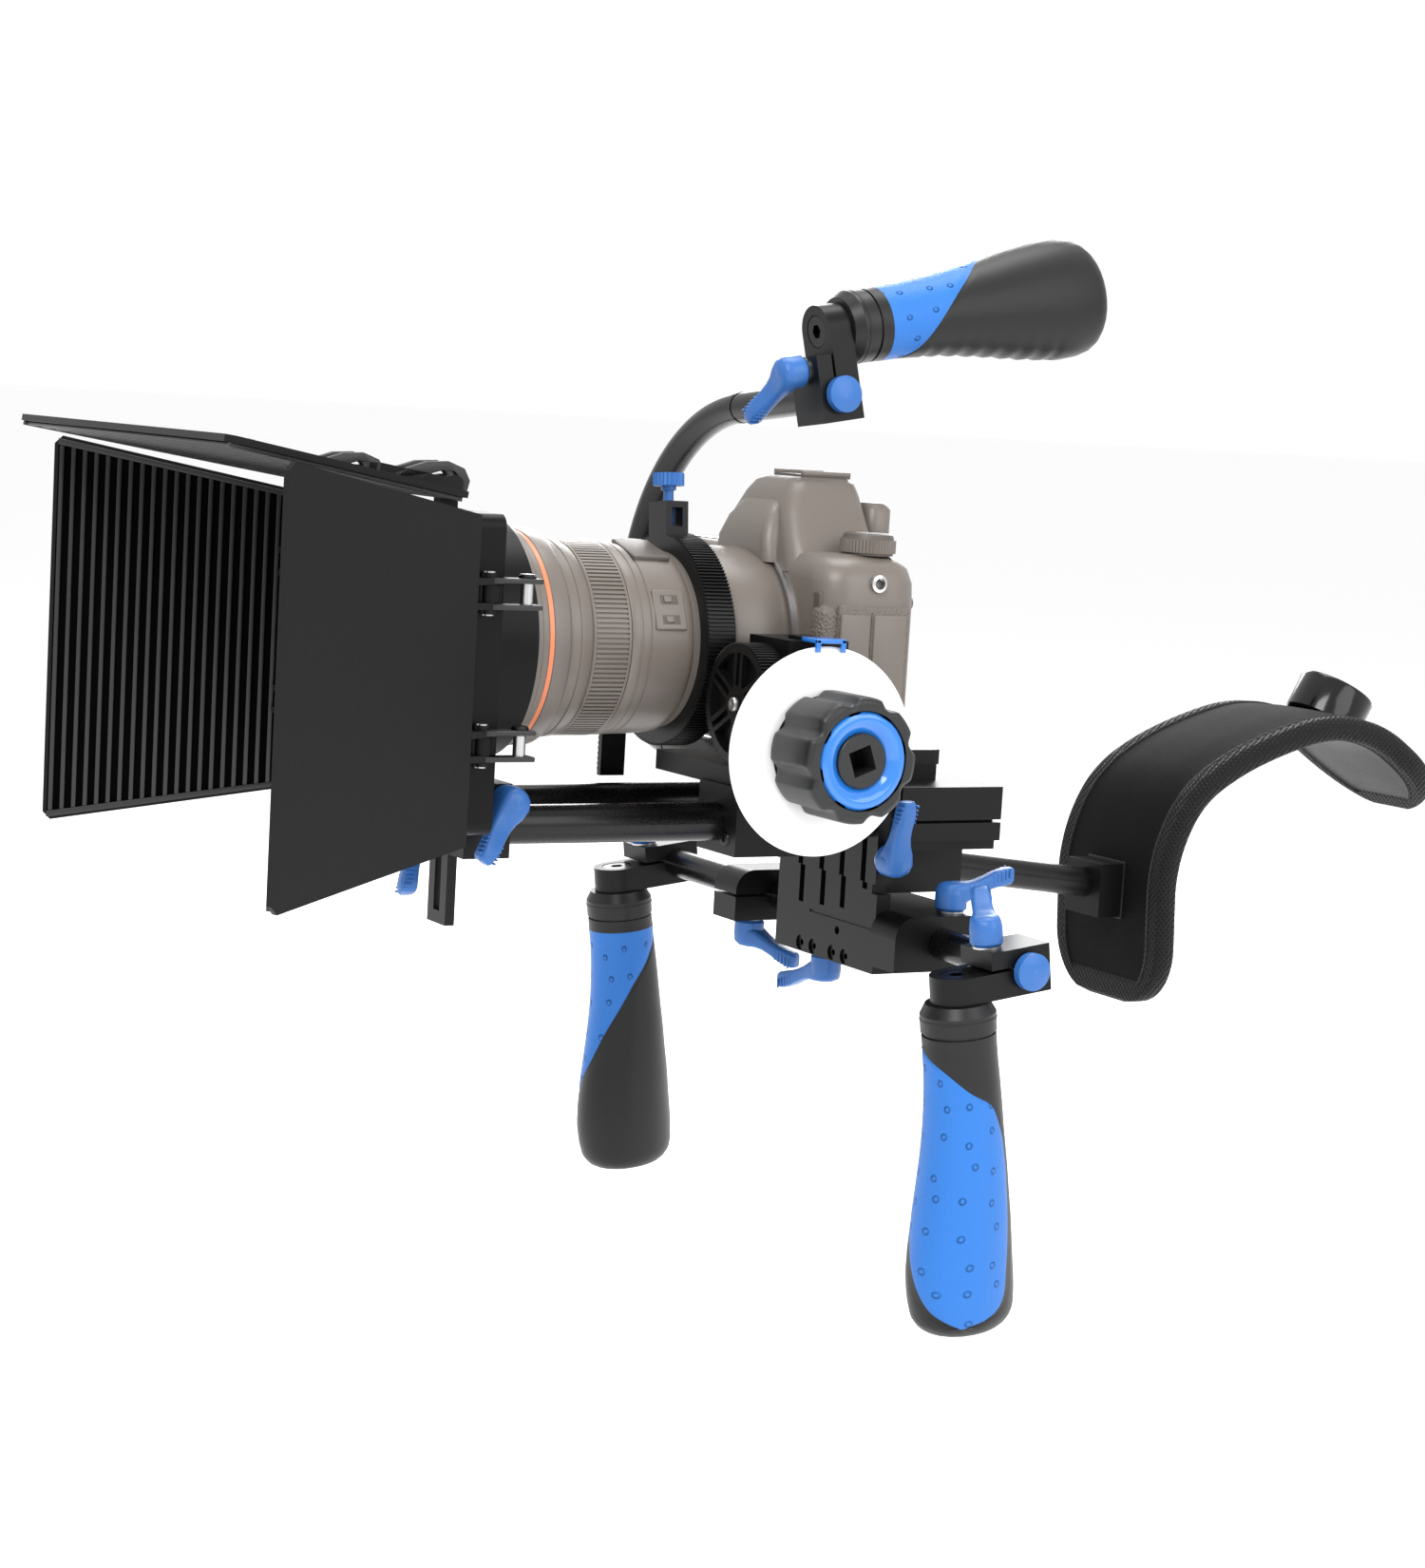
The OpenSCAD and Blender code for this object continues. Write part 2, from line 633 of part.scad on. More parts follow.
// Camera
module camera_body() {
    color([0.58, 0.55, 0.52]) difference() {
        union() {
            translate([(cam_left + cam_right) / 2, (mount_y + cam_back) / 2, cam_bottom])
                round_plate(cam_left - cam_right, cam_back - mount_y, 14, cam_top - cam_bottom);
            translate([cam_right + 15, mount_y - 6, cam_bottom + 3]) round_plate(30, 28, 12, 70);
            hull() {
                box(-32, 32, mount_y + 4, cam_back - 2, cam_top - 6, cam_top);
                box(-17, 17, mount_y + 10, cam_back - 4, cam_top, 196);
            }
            box(-17, 17, cam_back - 8, cam_back + 8, 168, 188);
            translate([0, (mount_y + cam_back) / 2, 195]) round_plate(22, 20, 2, 4);
            translate([0, 0, lens_z]) along_y(mount_y - 0.05) cylinder(r = 37, h = 6);
        }
        translate([0, -44, cam_bottom - 1]) cylinder(r = 3.15, h = 8);
        translate([dial_x, dial_y, cam_top - 6]) cylinder(r = 3.05, h = 7);
        translate([button_x, button_y, cam_bottom + 60]) cylinder(r = 3.05, h = 14);
        along_y(cam_back - 7, wheel_x, wheel_z) cylinder(r = 3.05, h = 8);
        translate([-10, (mount_y + cam_back) / 2 - 6, 197]) cube([20, 17, 3]);
    }
}
module mode_dial() {
    color([0.5, 0.47, 0.45]) translate([dial_x, dial_y, cam_top]) {
        translate([0, 0, 0.2]) cylinder(r = 11, h = 8);
        translate([0, 0, -5]) cylinder(r = 3, h = 6);
    }
}
module rear_dial() {
    color([0.45, 0.42, 0.4]) {
        along_y(cam_back + 0.2, wheel_x, wheel_z) cylinder(r = 16, h = 2.4);
        along_y(cam_back - 5, wheel_x, wheel_z) cylinder(r = 3, h = 6);
    }
}
module shutter_button() {
    color([0.45, 0.42, 0.4]) translate([button_x, button_y, cam_bottom + 73]) {
        translate([0, 0, 1.7]) cylinder(r = 5, h = 2.2);
        translate([0, 0, -6]) cylinder(r = 3, h = 8);
    }
}

// Follow focus
module focus_bracket() {
    color([0.1, 0.1, 0.1]) difference() {
        union() {
            box(16, 46, -92, -62, 50, 77);
            box(-24, 80, -90, -62, 76, 84);
        }
        along_y(-93, rod_gap / 2, rod_z) cylinder(r = rod_d / 2 + 0.02, h = 32);
        box(15, 24, -93, -61, rod_z - 0.6, rod_z + 0.6);
    }
}
module focus_gearbox() {
    color([0.1, 0.1, 0.1]) difference() {
        box(49, 78, box_front, box_back, 84, 137);
        box(52, 75, box_front + 2.4, box_back - 2.4, 87, 130);
        along_x(74, knob_y, knob_z) cylinder(r = 4 + fit, h = 5);
        along_y(box_front - 1, drive_x, drive_z) cylinder(r = 3 + fit, h = 4);
        for (z = [knob_z, drive_z]) along_y(box_back - 3, drive_x, z) cylinder(r = 2 + fit, h = 4);
    }
}
module train_gear(phase) {
    translate([0, train_y1, 0]) rotate([90, 0, 0]) linear_extrude(train_y1 - train_y0)
        polygon(gear_points(train_teeth, phase));
}
module drive_gear() {
    color([0.08, 0.08, 0.08]) translate([drive_x, 0, drive_z]) {
        difference() {
            translate([0, drive_front + drive_w, 0]) rotate([90, 0, 0]) linear_extrude(drive_w)
                polygon(gear_points(drive_teeth, mesh_angle + 180));
            difference() {
                along_y(drive_front - 1) tube(19.5, 7, 4.2);
                for (i = [0 : 5]) for (dx = [-3, 1.2])
                    rotate([0, i * 60, 0]) box(dx, dx + 1.8, drive_front - 2, drive_front + 5, 6, 20);
            }
        }
        along_y(drive_front - 0.8) cylinder(r = 3.4, h = 2);
        along_y(drive_front + 8) cylinder(r = 3, h = train_y1 - drive_front - 8);
        along_y(train_y1 - 0.5) cylinder(r = 2, h = 3.3);
        train_gear(270 + 180 / train_teeth);
    }
}
module cross_shaft() {
    color("darkgray") translate([drive_x, 0, knob_z]) {
        along_y(knob_y + 4.6) cylinder(r1 = 4.3, r2 = 7.1, h = 2.8);
        along_y(knob_y + 7) cylinder(r = 3, h = train_y1 - knob_y - 7);
        along_y(train_y1 - 0.5) cylinder(r = 2, h = 3.3);
        train_gear(90);
    }
}
module knob_shaft() {
    color("darkgray") {
        along_x(drive_x + 4.6, knob_y, knob_z) cylinder(r1 = 4.3, r2 = 7.1, h = 2.8);
        along_x(drive_x + 7, knob_y, knob_z) cylinder(r = 4, h = disc_x + 12 - drive_x - 7);
    }
}
module marking_disc() {
    color("white") along_x(disc_x, knob_y, knob_z) tube(disc_r, 4.02, 2);
}
module focus_knob() {
    color([0.25, 0.25, 0.26]) along_x(disc_x + 2.1, knob_y, knob_z) difference() {
        linear_extrude(knob_len) difference() {
            circle(r = knob_r);
            for (i = [0 : 7]) rotate(i * 45 + 16) translate([knob_r + 2, 0]) circle(r = 3.6);
        }
        translate([0, 0, -1]) cylinder(r = 4.02, h = 12);
        translate([0, 0, knob_len - 3]) tube(18.2, 10.4, 4);
        translate([0, 0, knob_len - 12]) rotate(20) translate([-4.8, -4.8, 0]) cube([9.6, 9.6, 13]);
    }
}

// Levers, each set a little above the face that it clamps
module near_handle_lever() {
    at_near() translate([0, stud_y, arm_half_h + 0.9]) rotate([0, 0, 150]) lever(15);
}
module far_handle_lever() {
    at_far() translate([0, stud_y, arm_half_h + 0.9]) rotate([0, 0, 150]) lever(15);
}
module top_handle_lever() {
    at_top() translate([0, stud_y, arm_half_h + 0.9]) rotate([0, 0, 40]) lever(15);
}
module right_clamp_lever() {
    translate([right_clamp_x + clamp_w / 2, right_lever_y, 26.9]) rotate([0, 0, 75]) lever(20);
}
module left_clamp_lever() {
    translate([left_clamp_x + clamp_w / 2, left_lever_y, 3.1]) rotate([180, 0, 0]) rotate([0, 0, -25])
        lever(18);
}
module lower_block_lever() {
    translate([lower_lever_x, lower_lever_y, -0.9]) rotate([180, 0, 0]) rotate([0, 0, 165]) lever(6);
}
module riser_right_lever() {
    translate([riser_lever_x, riser_lever_y, right_riser_z]) rotate([0, 90, 0]) rotate([0, 0, 185]) lever(8);
}
module riser_left_lever() {
    translate([-riser_lever_x, riser_lever_y, left_riser_z]) rotate([0, -90, 0]) rotate([0, 0, 15]) lever(8);
}
module matte_clamp_lever() {
    translate([42.9, matte_lever_y, matte_lever_z]) rotate([0, 90, 0]) rotate([0, 0, -38]) lever(8);
}
module height_bar_lever() {
    translate([0, clamp_front + 6.6, bar_lever_z]) rotate([90, 0, 0]) rotate([0, 0, -60]) lever(12);
}

upper_rods();
upper_block();
camera_plate();
plate_screws();
riser_plate();
lower_block();
cross_rod();
rod_caps();
rod_clamps();
near_arm();
near_grip_bolt();
near_grip_collar();
near_grip();
far_arm();
far_grip_bolt();
far_grip_collar();
far_grip();
top_arm();
top_grip_bolt();
top_grip_collar();
top_grip();
handle_tube();
handle_tube_clamp();
shoulder_rod();
pad_bracket();
shoulder_pad();
counterweight();
matte_rod_clamp();
height_bar();
matte_frame();
lens_cone();
top_flag();
near_flag();
far_flag();
lens_barrel();
front_glass();
zoom_ring();
lens_gear_ring();
gear_ring_screw();
camera_body();
mode_dial();
rear_dial();
shutter_button();
focus_bracket();
focus_gearbox();
drive_gear();
cross_shaft();
knob_shaft();
marking_disc();
focus_knob();
near_handle_lever();
far_handle_lever();
top_handle_lever();
right_clamp_lever();
left_clamp_lever();
lower_block_lever();
riser_right_lever();
riser_left_lever();
matte_clamp_lever();
height_bar_lever();
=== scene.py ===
"""Looks of the cinema camera rig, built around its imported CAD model.

Shapes are in millimetres and degrees in the part's frame: +Z is up and the lens looks along -Y.
mesh() turns millimetres into Blender's metres. Materials, lights and the floor are set in metres.
"""

import json
import math

import bpy
from mathutils import Matrix, Vector


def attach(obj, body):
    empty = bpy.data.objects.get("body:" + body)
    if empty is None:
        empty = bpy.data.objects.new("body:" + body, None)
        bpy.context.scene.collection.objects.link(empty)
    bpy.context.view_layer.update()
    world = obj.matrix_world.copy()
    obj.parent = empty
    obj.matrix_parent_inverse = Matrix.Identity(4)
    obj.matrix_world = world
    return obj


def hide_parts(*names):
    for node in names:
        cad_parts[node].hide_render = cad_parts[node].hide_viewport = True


MM = 0.001
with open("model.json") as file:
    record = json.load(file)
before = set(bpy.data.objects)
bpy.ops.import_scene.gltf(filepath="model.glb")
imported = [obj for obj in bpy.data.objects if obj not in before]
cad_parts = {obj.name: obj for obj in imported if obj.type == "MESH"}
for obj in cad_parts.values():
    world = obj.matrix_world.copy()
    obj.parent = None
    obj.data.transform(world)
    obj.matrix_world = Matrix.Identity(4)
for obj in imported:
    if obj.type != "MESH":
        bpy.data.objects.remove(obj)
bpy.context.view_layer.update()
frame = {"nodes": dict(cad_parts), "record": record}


# ---------- materials ----------
def material(name, color, rough, metal=0.0, coat=0.0, grain=None, detail=None, spec=0.5):
    """A principled material; grain is (scale per metre, bump depth in metres, roughness swing)."""
    made = bpy.data.materials.new(name)
    made.use_nodes = True
    nt = made.node_tree
    bsdf = nt.nodes["Principled BSDF"]
    bsdf.inputs["Base Color"].default_value = (*color, 1)
    bsdf.inputs["Roughness"].default_value = rough
    bsdf.inputs["Metallic"].default_value = metal
    bsdf.inputs["Coat Weight"].default_value = coat
    bsdf.inputs["Specular IOR Level"].default_value = spec
    if grain:
        scale, depth, swing = grain
        noise = texture(nt, "Noise", object_coords(nt), Scale=scale, Detail=3)
        add_height(nt, bsdf, noise.outputs["Fac"], depth)
        ramp = nt.nodes.new("ShaderNodeMapRange")
        ramp.inputs["To Min"].default_value = rough - swing
        ramp.inputs["To Max"].default_value = rough + swing
        nt.links.new(noise.outputs["Fac"], ramp.inputs["Value"])
        nt.links.new(ramp.outputs["Result"], bsdf.inputs["Roughness"])
    if detail:
        detail(nt, bsdf)
    return made


def texture(nt, kind, vector, **inputs):
    node = nt.nodes.new("ShaderNodeTex" + kind)
    for name, value in inputs.items():
        node.inputs[name].default_value = value
    nt.links.new(vector, node.inputs["Vector"])
    return node


def object_coords(nt):
    return nt.nodes.new("ShaderNodeTexCoord").outputs["Object"]


def add_height(nt, bsdf, socket, depth):
    """Puts one more bump over whatever already drives the normal."""
    bump = nt.nodes.new("ShaderNodeBump")
    bump.inputs["Distance"].default_value = depth
    nt.links.new(socket, bump.inputs["Height"])
    old = bsdf.inputs["Normal"].links
    if old:
        nt.links.new(old[0].from_socket, bump.inputs["Normal"])
    nt.links.new(bump.outputs["Normal"], bsdf.inputs["Normal"])


def dimples(nt, bsdf):
    """Small round dips about 12 mm apart, laid out on the grip's own UV."""
    uv = nt.nodes.new("ShaderNodeTexCoord").outputs["UV"]
    cells = texture(nt, "Voronoi", uv, Scale=84, Randomness=0.45)
    cells.voronoi_dimensions = "2D"
    dip = nt.nodes.new("ShaderNodeMapRange")
    dip.interpolation_type = "SMOOTHSTEP"
    dip.inputs["From Min"].default_value = 0.05
    dip.inputs["From Max"].default_value = 0.14
    nt.links.new(cells.outputs["Distance"], dip.inputs["Value"])
    add_height(nt, bsdf, dip.outputs["Result"], 0.0016)


def pebbles(nt, bsdf):
    """Leather-like pebbles of about 1 mm."""
    cells = texture(nt, "Voronoi", object_coords(nt), Scale=900)
    cells.feature = "SMOOTH_F1"
    add_height(nt, bsdf, cells.outputs["Distance"], 0.0006)


def weave(nt, bsdf):
    """Two crossed sets of threads."""
    for turn in (0, math.pi / 2):
        turned = nt.nodes.new("ShaderNodeMapping")
        turned.inputs["Rotation"].default_value = (turn, 0, 0)
        nt.links.new(object_coords(nt), turned.inputs["Vector"])
        wave = texture(nt, "Wave", turned.outputs["Vector"], Scale=230, Distortion=1.5)
        wave.bands_direction = "DIAGONAL"
        add_height(nt, bsdf, wave.outputs["Fac"], 0.0007)


def brushed(nt, bsdf):
    """Fine upright lines."""
    stretch = nt.nodes.new("ShaderNodeMapping")
    stretch.inputs["Scale"].default_value = (900, 900, 12)
    nt.links.new(object_coords(nt), stretch.inputs["Vector"])
    noise = texture(nt, "Noise", stretch.outputs["Vector"], Scale=1)
    add_height(nt, bsdf, noise.outputs["Fac"], 0.00006)


# Blacks
BLACK = material("black_alloy", (0.0035, 0.0035, 0.0038), 0.36, grain=(2500, 0.00002, 0.04), spec=0.2)
TUBE = material("black_tube", (0.003, 0.003, 0.0033), 0.27, grain=(1800, 0.00001, 0.03), spec=0.3)
GLOSS = material("gloss_black", (0.002, 0.002, 0.002), 0.14, grain=(300, 0.00002, 0.03), spec=0.4)
FLAG = material("flag_face", (0.006, 0.006, 0.0065), 0.4,
                grain=(1500, 0.00003, 0.05), detail=brushed, spec=0.15)
# Near-black, barely reflective sheet under a flag's ribs: painted shade in the grooves between the ribs.
GROOVE_SHADE = material("flag_groove_shade", (0.001, 0.001, 0.001), 0.8, grain=(900, 0.00003, 0.05), spec=0.02)
RIB = material("flag_ribs", (0.012, 0.012, 0.013), 0.4, grain=(1300, 0.00008, 0.05), spec=0.45)
HOOD = material("hood_black", (0.0015, 0.0015, 0.0015), 0.4, grain=(1500, 0.00002, 0.04), spec=0.15)
GEAR = material("gear_black", (0.003, 0.003, 0.003), 0.38, grain=(1500, 0.00003, 0.05), spec=0.25)
KNOB = material("knob_grey", (0.013, 0.0133, 0.014), 0.38, grain=(3000, 0.00004, 0.04), spec=0.4)

# Blues
BLUE = material("blue_plastic", (0.03, 0.125, 0.38), 0.34, grain=(1500, 0.00001, 0.04), spec=0.35)
BLUE_GLOSS = material("blue_gloss", (0.015, 0.16, 0.56), 0.14, coat=0.5, grain=(600, 0.00001, 0.02))
BLUE_GRIP = material("blue_grip", (0.02, 0.15, 0.5), 0.42,
                     grain=(1300, 0.00022, 0.05), detail=dimples, spec=0.3)

# Rubber and fabric
GREY_GRIP = material("grey_grip", (0.009, 0.009, 0.0095), 0.42, grain=(3200, 0.00004, 0.04), spec=0.3)
COLLAR = material("collar", (0.01, 0.01, 0.0105), 0.36, grain=(2600, 0.00002, 0.04), spec=0.3)
NEOPRENE = material("neoprene", (0.0022, 0.0022, 0.0022), 0.75, grain=(1700, 0.00025, 0.06), spec=0.12)
BINDING = material("binding", (0.005, 0.005, 0.005), 0.65,
                   grain=(2500, 0.0001, 0.05), detail=weave, spec=0.25)
LINING = material("lining", (0.012, 0.012, 0.013), 0.5, grain=(900, 0.0001, 0.08), spec=0.3)
THREAD = material("thread", (0.03, 0.03, 0.03), 0.6, grain=(3000, 0.0001, 0.05), spec=0.2)

# Camera and lens
TAUPE = material("camera_taupe", (0.135, 0.115, 0.1), 0.36, grain=(2200, 0.00004, 0.05))
TAUPE_DARK = material("camera_dark", (0.07, 0.058, 0.05), 0.45, grain=(2000, 0.00004, 0.05))
SKIN = material("camera_skin", (0.12, 0.102, 0.088), 0.55, grain=(1500, 0.0001, 0.05), detail=pebbles)
ORANGE = material("ring_orange", (0.66, 0.19, 0.08), 0.35, grain=(2000, 0.00002, 0.04))
GLASS = material("front_glass", (0.02, 0.022, 0.03), 0.05, coat=1.0)
SCREEN = material("screen", (0.01, 0.01, 0.012), 0.1, coat=0.8)

# Disc and metals
WHITE = material("disc_white", (0.86, 0.86, 0.86), 0.4, grain=(900, 0.00001, 0.03))
STEEL = material("steel", (0.55, 0.55, 0.56), 0.3, metal=1.0, grain=(1500, 0.00002, 0.06))
DARK_STEEL = material("dark_steel", (0.03, 0.03, 0.03), 0.3, metal=1.0, grain=(1500, 0.00002, 0.06))

CAD_LOOKS = {
    "black_alloy": BLACK, "black_tube": TUBE, "screw_steel": DARK_STEEL, "blue_plastic": BLUE,
    "collar_plastic": COLLAR, "grip_rubber": GREY_GRIP, "pad_fabric": NEOPRENE, "weight_paint": GLOSS,
    "flag_plastic": FLAG, "camera_plastic": TAUPE, "lens_glass": GLASS, "camera_rubber": TAUPE,
    "dial_metal": TAUPE_DARK, "gear_plastic": GEAR, "disc_plastic": WHITE, "knob_plastic": KNOB,
}
HOOD_NODES = ("lens_cone", "matte_frame")
slot_of = {s["node"]: s["material_slot"] for s in frame["record"]["subparts"]}
for node_name, node in frame["nodes"].items():
    look = HOOD if node_name in HOOD_NODES else CAD_LOOKS[slot_of[node_name]]
    node.data.materials.clear()
    node.data.materials.append(look)


# ---------- shapes, in millimetres ----------
def rot(degrees, axis):
    return Matrix.Rotation(math.radians(degrees), 4, axis)


def at(x, y, z):
    return Matrix.Translation((x, y, z))


HERE = Matrix.Identity(4)
ALONG_Y = rot(-90, "X")
AGAINST_Y = rot(90, "X")
ALONG_X = rot(90, "Y")
BEVEL_FROM = 35


def mesh(name, verts, faces, mats, body, place=HERE, smooth=35, face_mats=(), bevel=0):
    """A mesh that rides on a body; smooth is the largest angle, in degrees, that is shaded smooth."""
    data = bpy.data.meshes.new(name)
    data.from_pydata([tuple((place @ Vector(v)) * MM) for v in verts], [], faces)
    for mat in mats:
        data.materials.append(mat)
    for poly, i in zip(data.polygons, face_mats):
        poly.material_index = i
    data.validate()
    obj = bpy.data.objects.new(name, data)
    bpy.context.scene.collection.objects.link(obj)
    if bevel:
        rounding = obj.modifiers.new("bevel", "BEVEL")
        rounding.width = bevel * MM
        rounding.segments = 3
        rounding.limit_method = "ANGLE"
        rounding.angle_limit = math.radians(BEVEL_FROM)
    if smooth:
        data.shade_smooth()
        split = obj.modifiers.new("edges", "EDGE_SPLIT")
        split.split_angle = math.radians(smooth)
    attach(obj, body)
    return obj


def box(name, lo, hi, mat, body, bevel=0.5, place=HERE):
    verts = [(x, y, z) for x in (lo[0], hi[0]) for y in (lo[1], hi[1]) for z in (lo[2], hi[2])]
    faces = [(0, 1, 3, 2), (4, 6, 7, 5), (0, 4, 5, 1), (2, 3, 7, 6), (0, 2, 6, 4), (1, 5, 7, 3)]
    return mesh(name, verts, faces, [mat], body, place, bevel=bevel)


def lathe(name, profile, mats, body, place=HERE, n=96, span_mats=()):
    """(radius, height) points turned about local Z; span_mats has a material number for each stretch."""
    mats = mats if isinstance(mats, list) else [mats]
    verts = [(r * math.cos(a), r * math.sin(a), z) for r, z in profile for a in angles(n)]
    faces = band_faces(len(profile), n)
    face_mats = [i for i in span_mats for _ in range(n)]
    return mesh(name, verts, faces, mats, body, place, face_mats=face_mats)


def prism(name, outline, height, mat, body, place=HERE, bevel=0.3):
    """An outline in local X and Y, raised along local Z."""
    n = len(outline)
    verts = [(x, y, 0) for x, y in outline] + [(x, y, height) for x, y in outline]
    faces = [tuple(range(n))[::-1], tuple(range(n, 2 * n))]
    faces += [(i, (i + 1) % n, n + (i + 1) % n, n + i) for i in range(n)]
    return mesh(name, verts, faces, [mat], body, place, bevel=bevel)


def loft(name, rings, mats, body, place=HERE, smooth=60, caps=True, face_mats=()):
    """Closed rings of equally many points, joined in order."""
    n = len(rings[0])
    verts = [p for ring in rings for p in ring]
    faces = band_faces(len(rings), n)
    if caps:
        faces += [tuple(range(n))[::-1], tuple((len(rings) - 1) * n + i for i in range(n))]
    return mesh(name, verts, faces, mats, body, place, smooth, face_mats)


def band_faces(rows, n):
    """Faces between rows of n points that close on themselves."""
    return [(k * n + i, k * n + (i + 1) % n, (k + 1) * n + (i + 1) % n, (k + 1) * n + i)
            for k in range(rows - 1) for i in range(n)]


def angles(n, start=0.0):
    """n equal steps round a circle, in radians."""
    return [2 * math.pi * i / n + math.radians(start) for i in range(n)]


def circle(radius, n, start=0.0):
    return [(radius * math.cos(a), radius * math.sin(a)) for a in angles(n, start)]


def raised(outline, z, scale=1.0):
    return [(scale * x, scale * y, z) for x, y in outline]


def round_rect(w, d, r, n=6):
    """Outline of a w by d rectangle about the origin, with corners of radius r."""
    points = []
    for cx, cy, start in ((w / 2 - r, d / 2 - r, 0), (r - w / 2, d / 2 - r, 90),
                          (r - w / 2, r - d / 2, 180), (w / 2 - r, r - d / 2, 270)):
        for i in range(n + 1):
            a = math.radians(start + 90 * i / n)
            points.append((cx + r * math.cos(a), cy + r * math.sin(a)))
    return points


def joined(name, parts):
    """Joins pieces that ride together into one object."""
    bpy.ops.object.select_all(action="DESELECT")
    for part in parts:
        part.select_set(True)
    bpy.context.view_layer.objects.active = parts[0]
    bpy.ops.object.convert(target="MESH")
    bpy.ops.object.join()
    parts[0].name = name
    return parts[0]


def signed(text):
    """A piece name in which each minus sign is written m."""
    return text.replace("-", "m")


def smooth_at(table, t):
    """Value at t on a smooth curve through a table of (t, value) rows."""
    if t <= table[0][0]:
        return table[0][1]
    if t >= table[-1][0]:
        return table[-1][1]
    i = max(k for k in range(len(table) - 1) if table[k][0] <= t)
    before, left = table[max(0, i - 1)], table[i]
    right, after = table[i + 1], table[min(len(table) - 1, i + 2)]
    span = right[0] - left[0]
    k = (t - left[0]) / span
    slope_in = (right[1] - before[1]) / (right[0] - before[0]) * span
    slope_out = (after[1] - left[1]) / (after[0] - left[0]) * span
    return ((2 * k**3 - 3 * k**2 + 1) * left[1] + (k**3 - 2 * k**2 + k) * slope_in
            + (3 * k**2 - 2 * k**3) * right[1] + (k**3 - k**2) * slope_out)


# ---------- handles ----------
# A grip hangs down local -Z of its handle's own frame, around x = 0 and y = EYE_Y.
NEAR = at(105.5, 0, 15) @ rot(7.5, "X")
FAR = at(-170, 0, 15) @ rot(7.5, "X")
TOP = at(0, -34, 228.898) @ rot(-5.5, "Y") @ rot(-80, "X") @ rot(180, "Y")
EYE_Y = -26
GRIP_TOP = -21.9
GRIP_MIDDLE = -78

# (share of the grip's length, millimetres): half depth, half width, and sideways sway of the middle line
DEEP = [(0, 14.4), (0.12, 14.4), (0.33, 15.4), (0.5, 17), (0.66, 18.4), (0.82, 19.2), (0.92, 18.8), (1, 17.6)]
WIDE = [(0, 14.8), (0.12, 15.0), (0.33, 17), (0.5, 19.8), (0.66, 23), (0.82, 25), (0.92, 24.2), (1, 21.2)]
SWAY = [(0, 0), (0.2, 0.5), (0.4, -0.5), (0.6, -2.6), (0.8, -4.6), (1, -4.2)]

# (share of the length, degrees round the grip from the side that the photo shows): edges of the blue inlay
INLAY_START, INLAY_LAST, INLAY_END = 0.035, 0.945, 0.955
NEAR_LO = [(INLAY_START, -200), (0.1, -195), (0.3, -160), (0.45, -118), (0.55, -95), (0.64, -76), (0.78, -50),
           (0.89, -30), (0.93, -15), (INLAY_END, -2)]
NEAR_HI = [(INLAY_START, -105), (0.05, -78), (0.1, -30), (0.18, 14), (0.23, 48), (0.3, 66), (0.37, 79),
           (0.5, 84), (0.7, 78), (0.8, 71), (0.89, 60), (0.93, 38), (INLAY_END, 2)]
FAR_LO = [(INLAY_START, -205), (0.2, -210), (0.5, -202), (0.75, -186), (0.9, -165), (INLAY_END, -144)]
FAR_HI = [(INLAY_START, 104), (0.09, 90), (0.13, 66), (0.18, 44), (0.24, 20), (0.31, 0), (0.44, -30),
          (0.57, -52), (0.66, -73), (0.74, -95), (0.82, -108), (0.9, -122), (INLAY_END, -140)]
TOP_LO = [(INLAY_START, -104), (0.09, -98), (0.13, -80), (0.18, -46), (0.25, -8), (0.33, 26), (0.42, 56),
          (0.5, 82), (0.6, 106), (0.75, 132), (0.9, 150), (INLAY_END, 168)]
TOP_HI = [(INLAY_START, 235), (0.2, 238), (0.5, 226), (0.75, 212), (0.9, 192), (INLAY_END, 172)]
INLAY_PROUD, INLAY_GROOVE = 0.15, 0.35
RIBS_FROM, RIBS_TO, RIB_DEPTH, RIB_COUNT = 0.22, 0.78, 0.9, 13

# The camera of the photo: its place, and its right and up directions
CAMERA = Vector((1116.59, -725.82, 222.76))
RIGHT = Vector((0.49587, 0.86650, 0.05729))
UP = Vector((-0.12867, 0.00807, 0.99165))


def grip_radius(t, angle):
    """Radius of the sleeve at a share of its length, and an angle from its narrow axis."""
    deep, wide = smooth_at(DEEP, t), smooth_at(WIDE, t)
    fall = math.sqrt(max(0, 1 - ((t - 0.94) / 0.06) ** 2)) if t > 0.94 else 1
    rounding = 0.72 + 0.28 * fall
    return deep * wide / math.hypot(wide * math.cos(angle), deep * math.sin(angle)) * rounding


def finger_dip(t, side_angle):
    """Depth of the finger ribs under the top grip."""
    under = max(0.0, math.cos(math.radians(side_angle + 100))) ** 3
    return RIB_DEPTH * under * (0.5 + 0.5 * math.cos(2 * math.pi * t * RIB_COUNT))


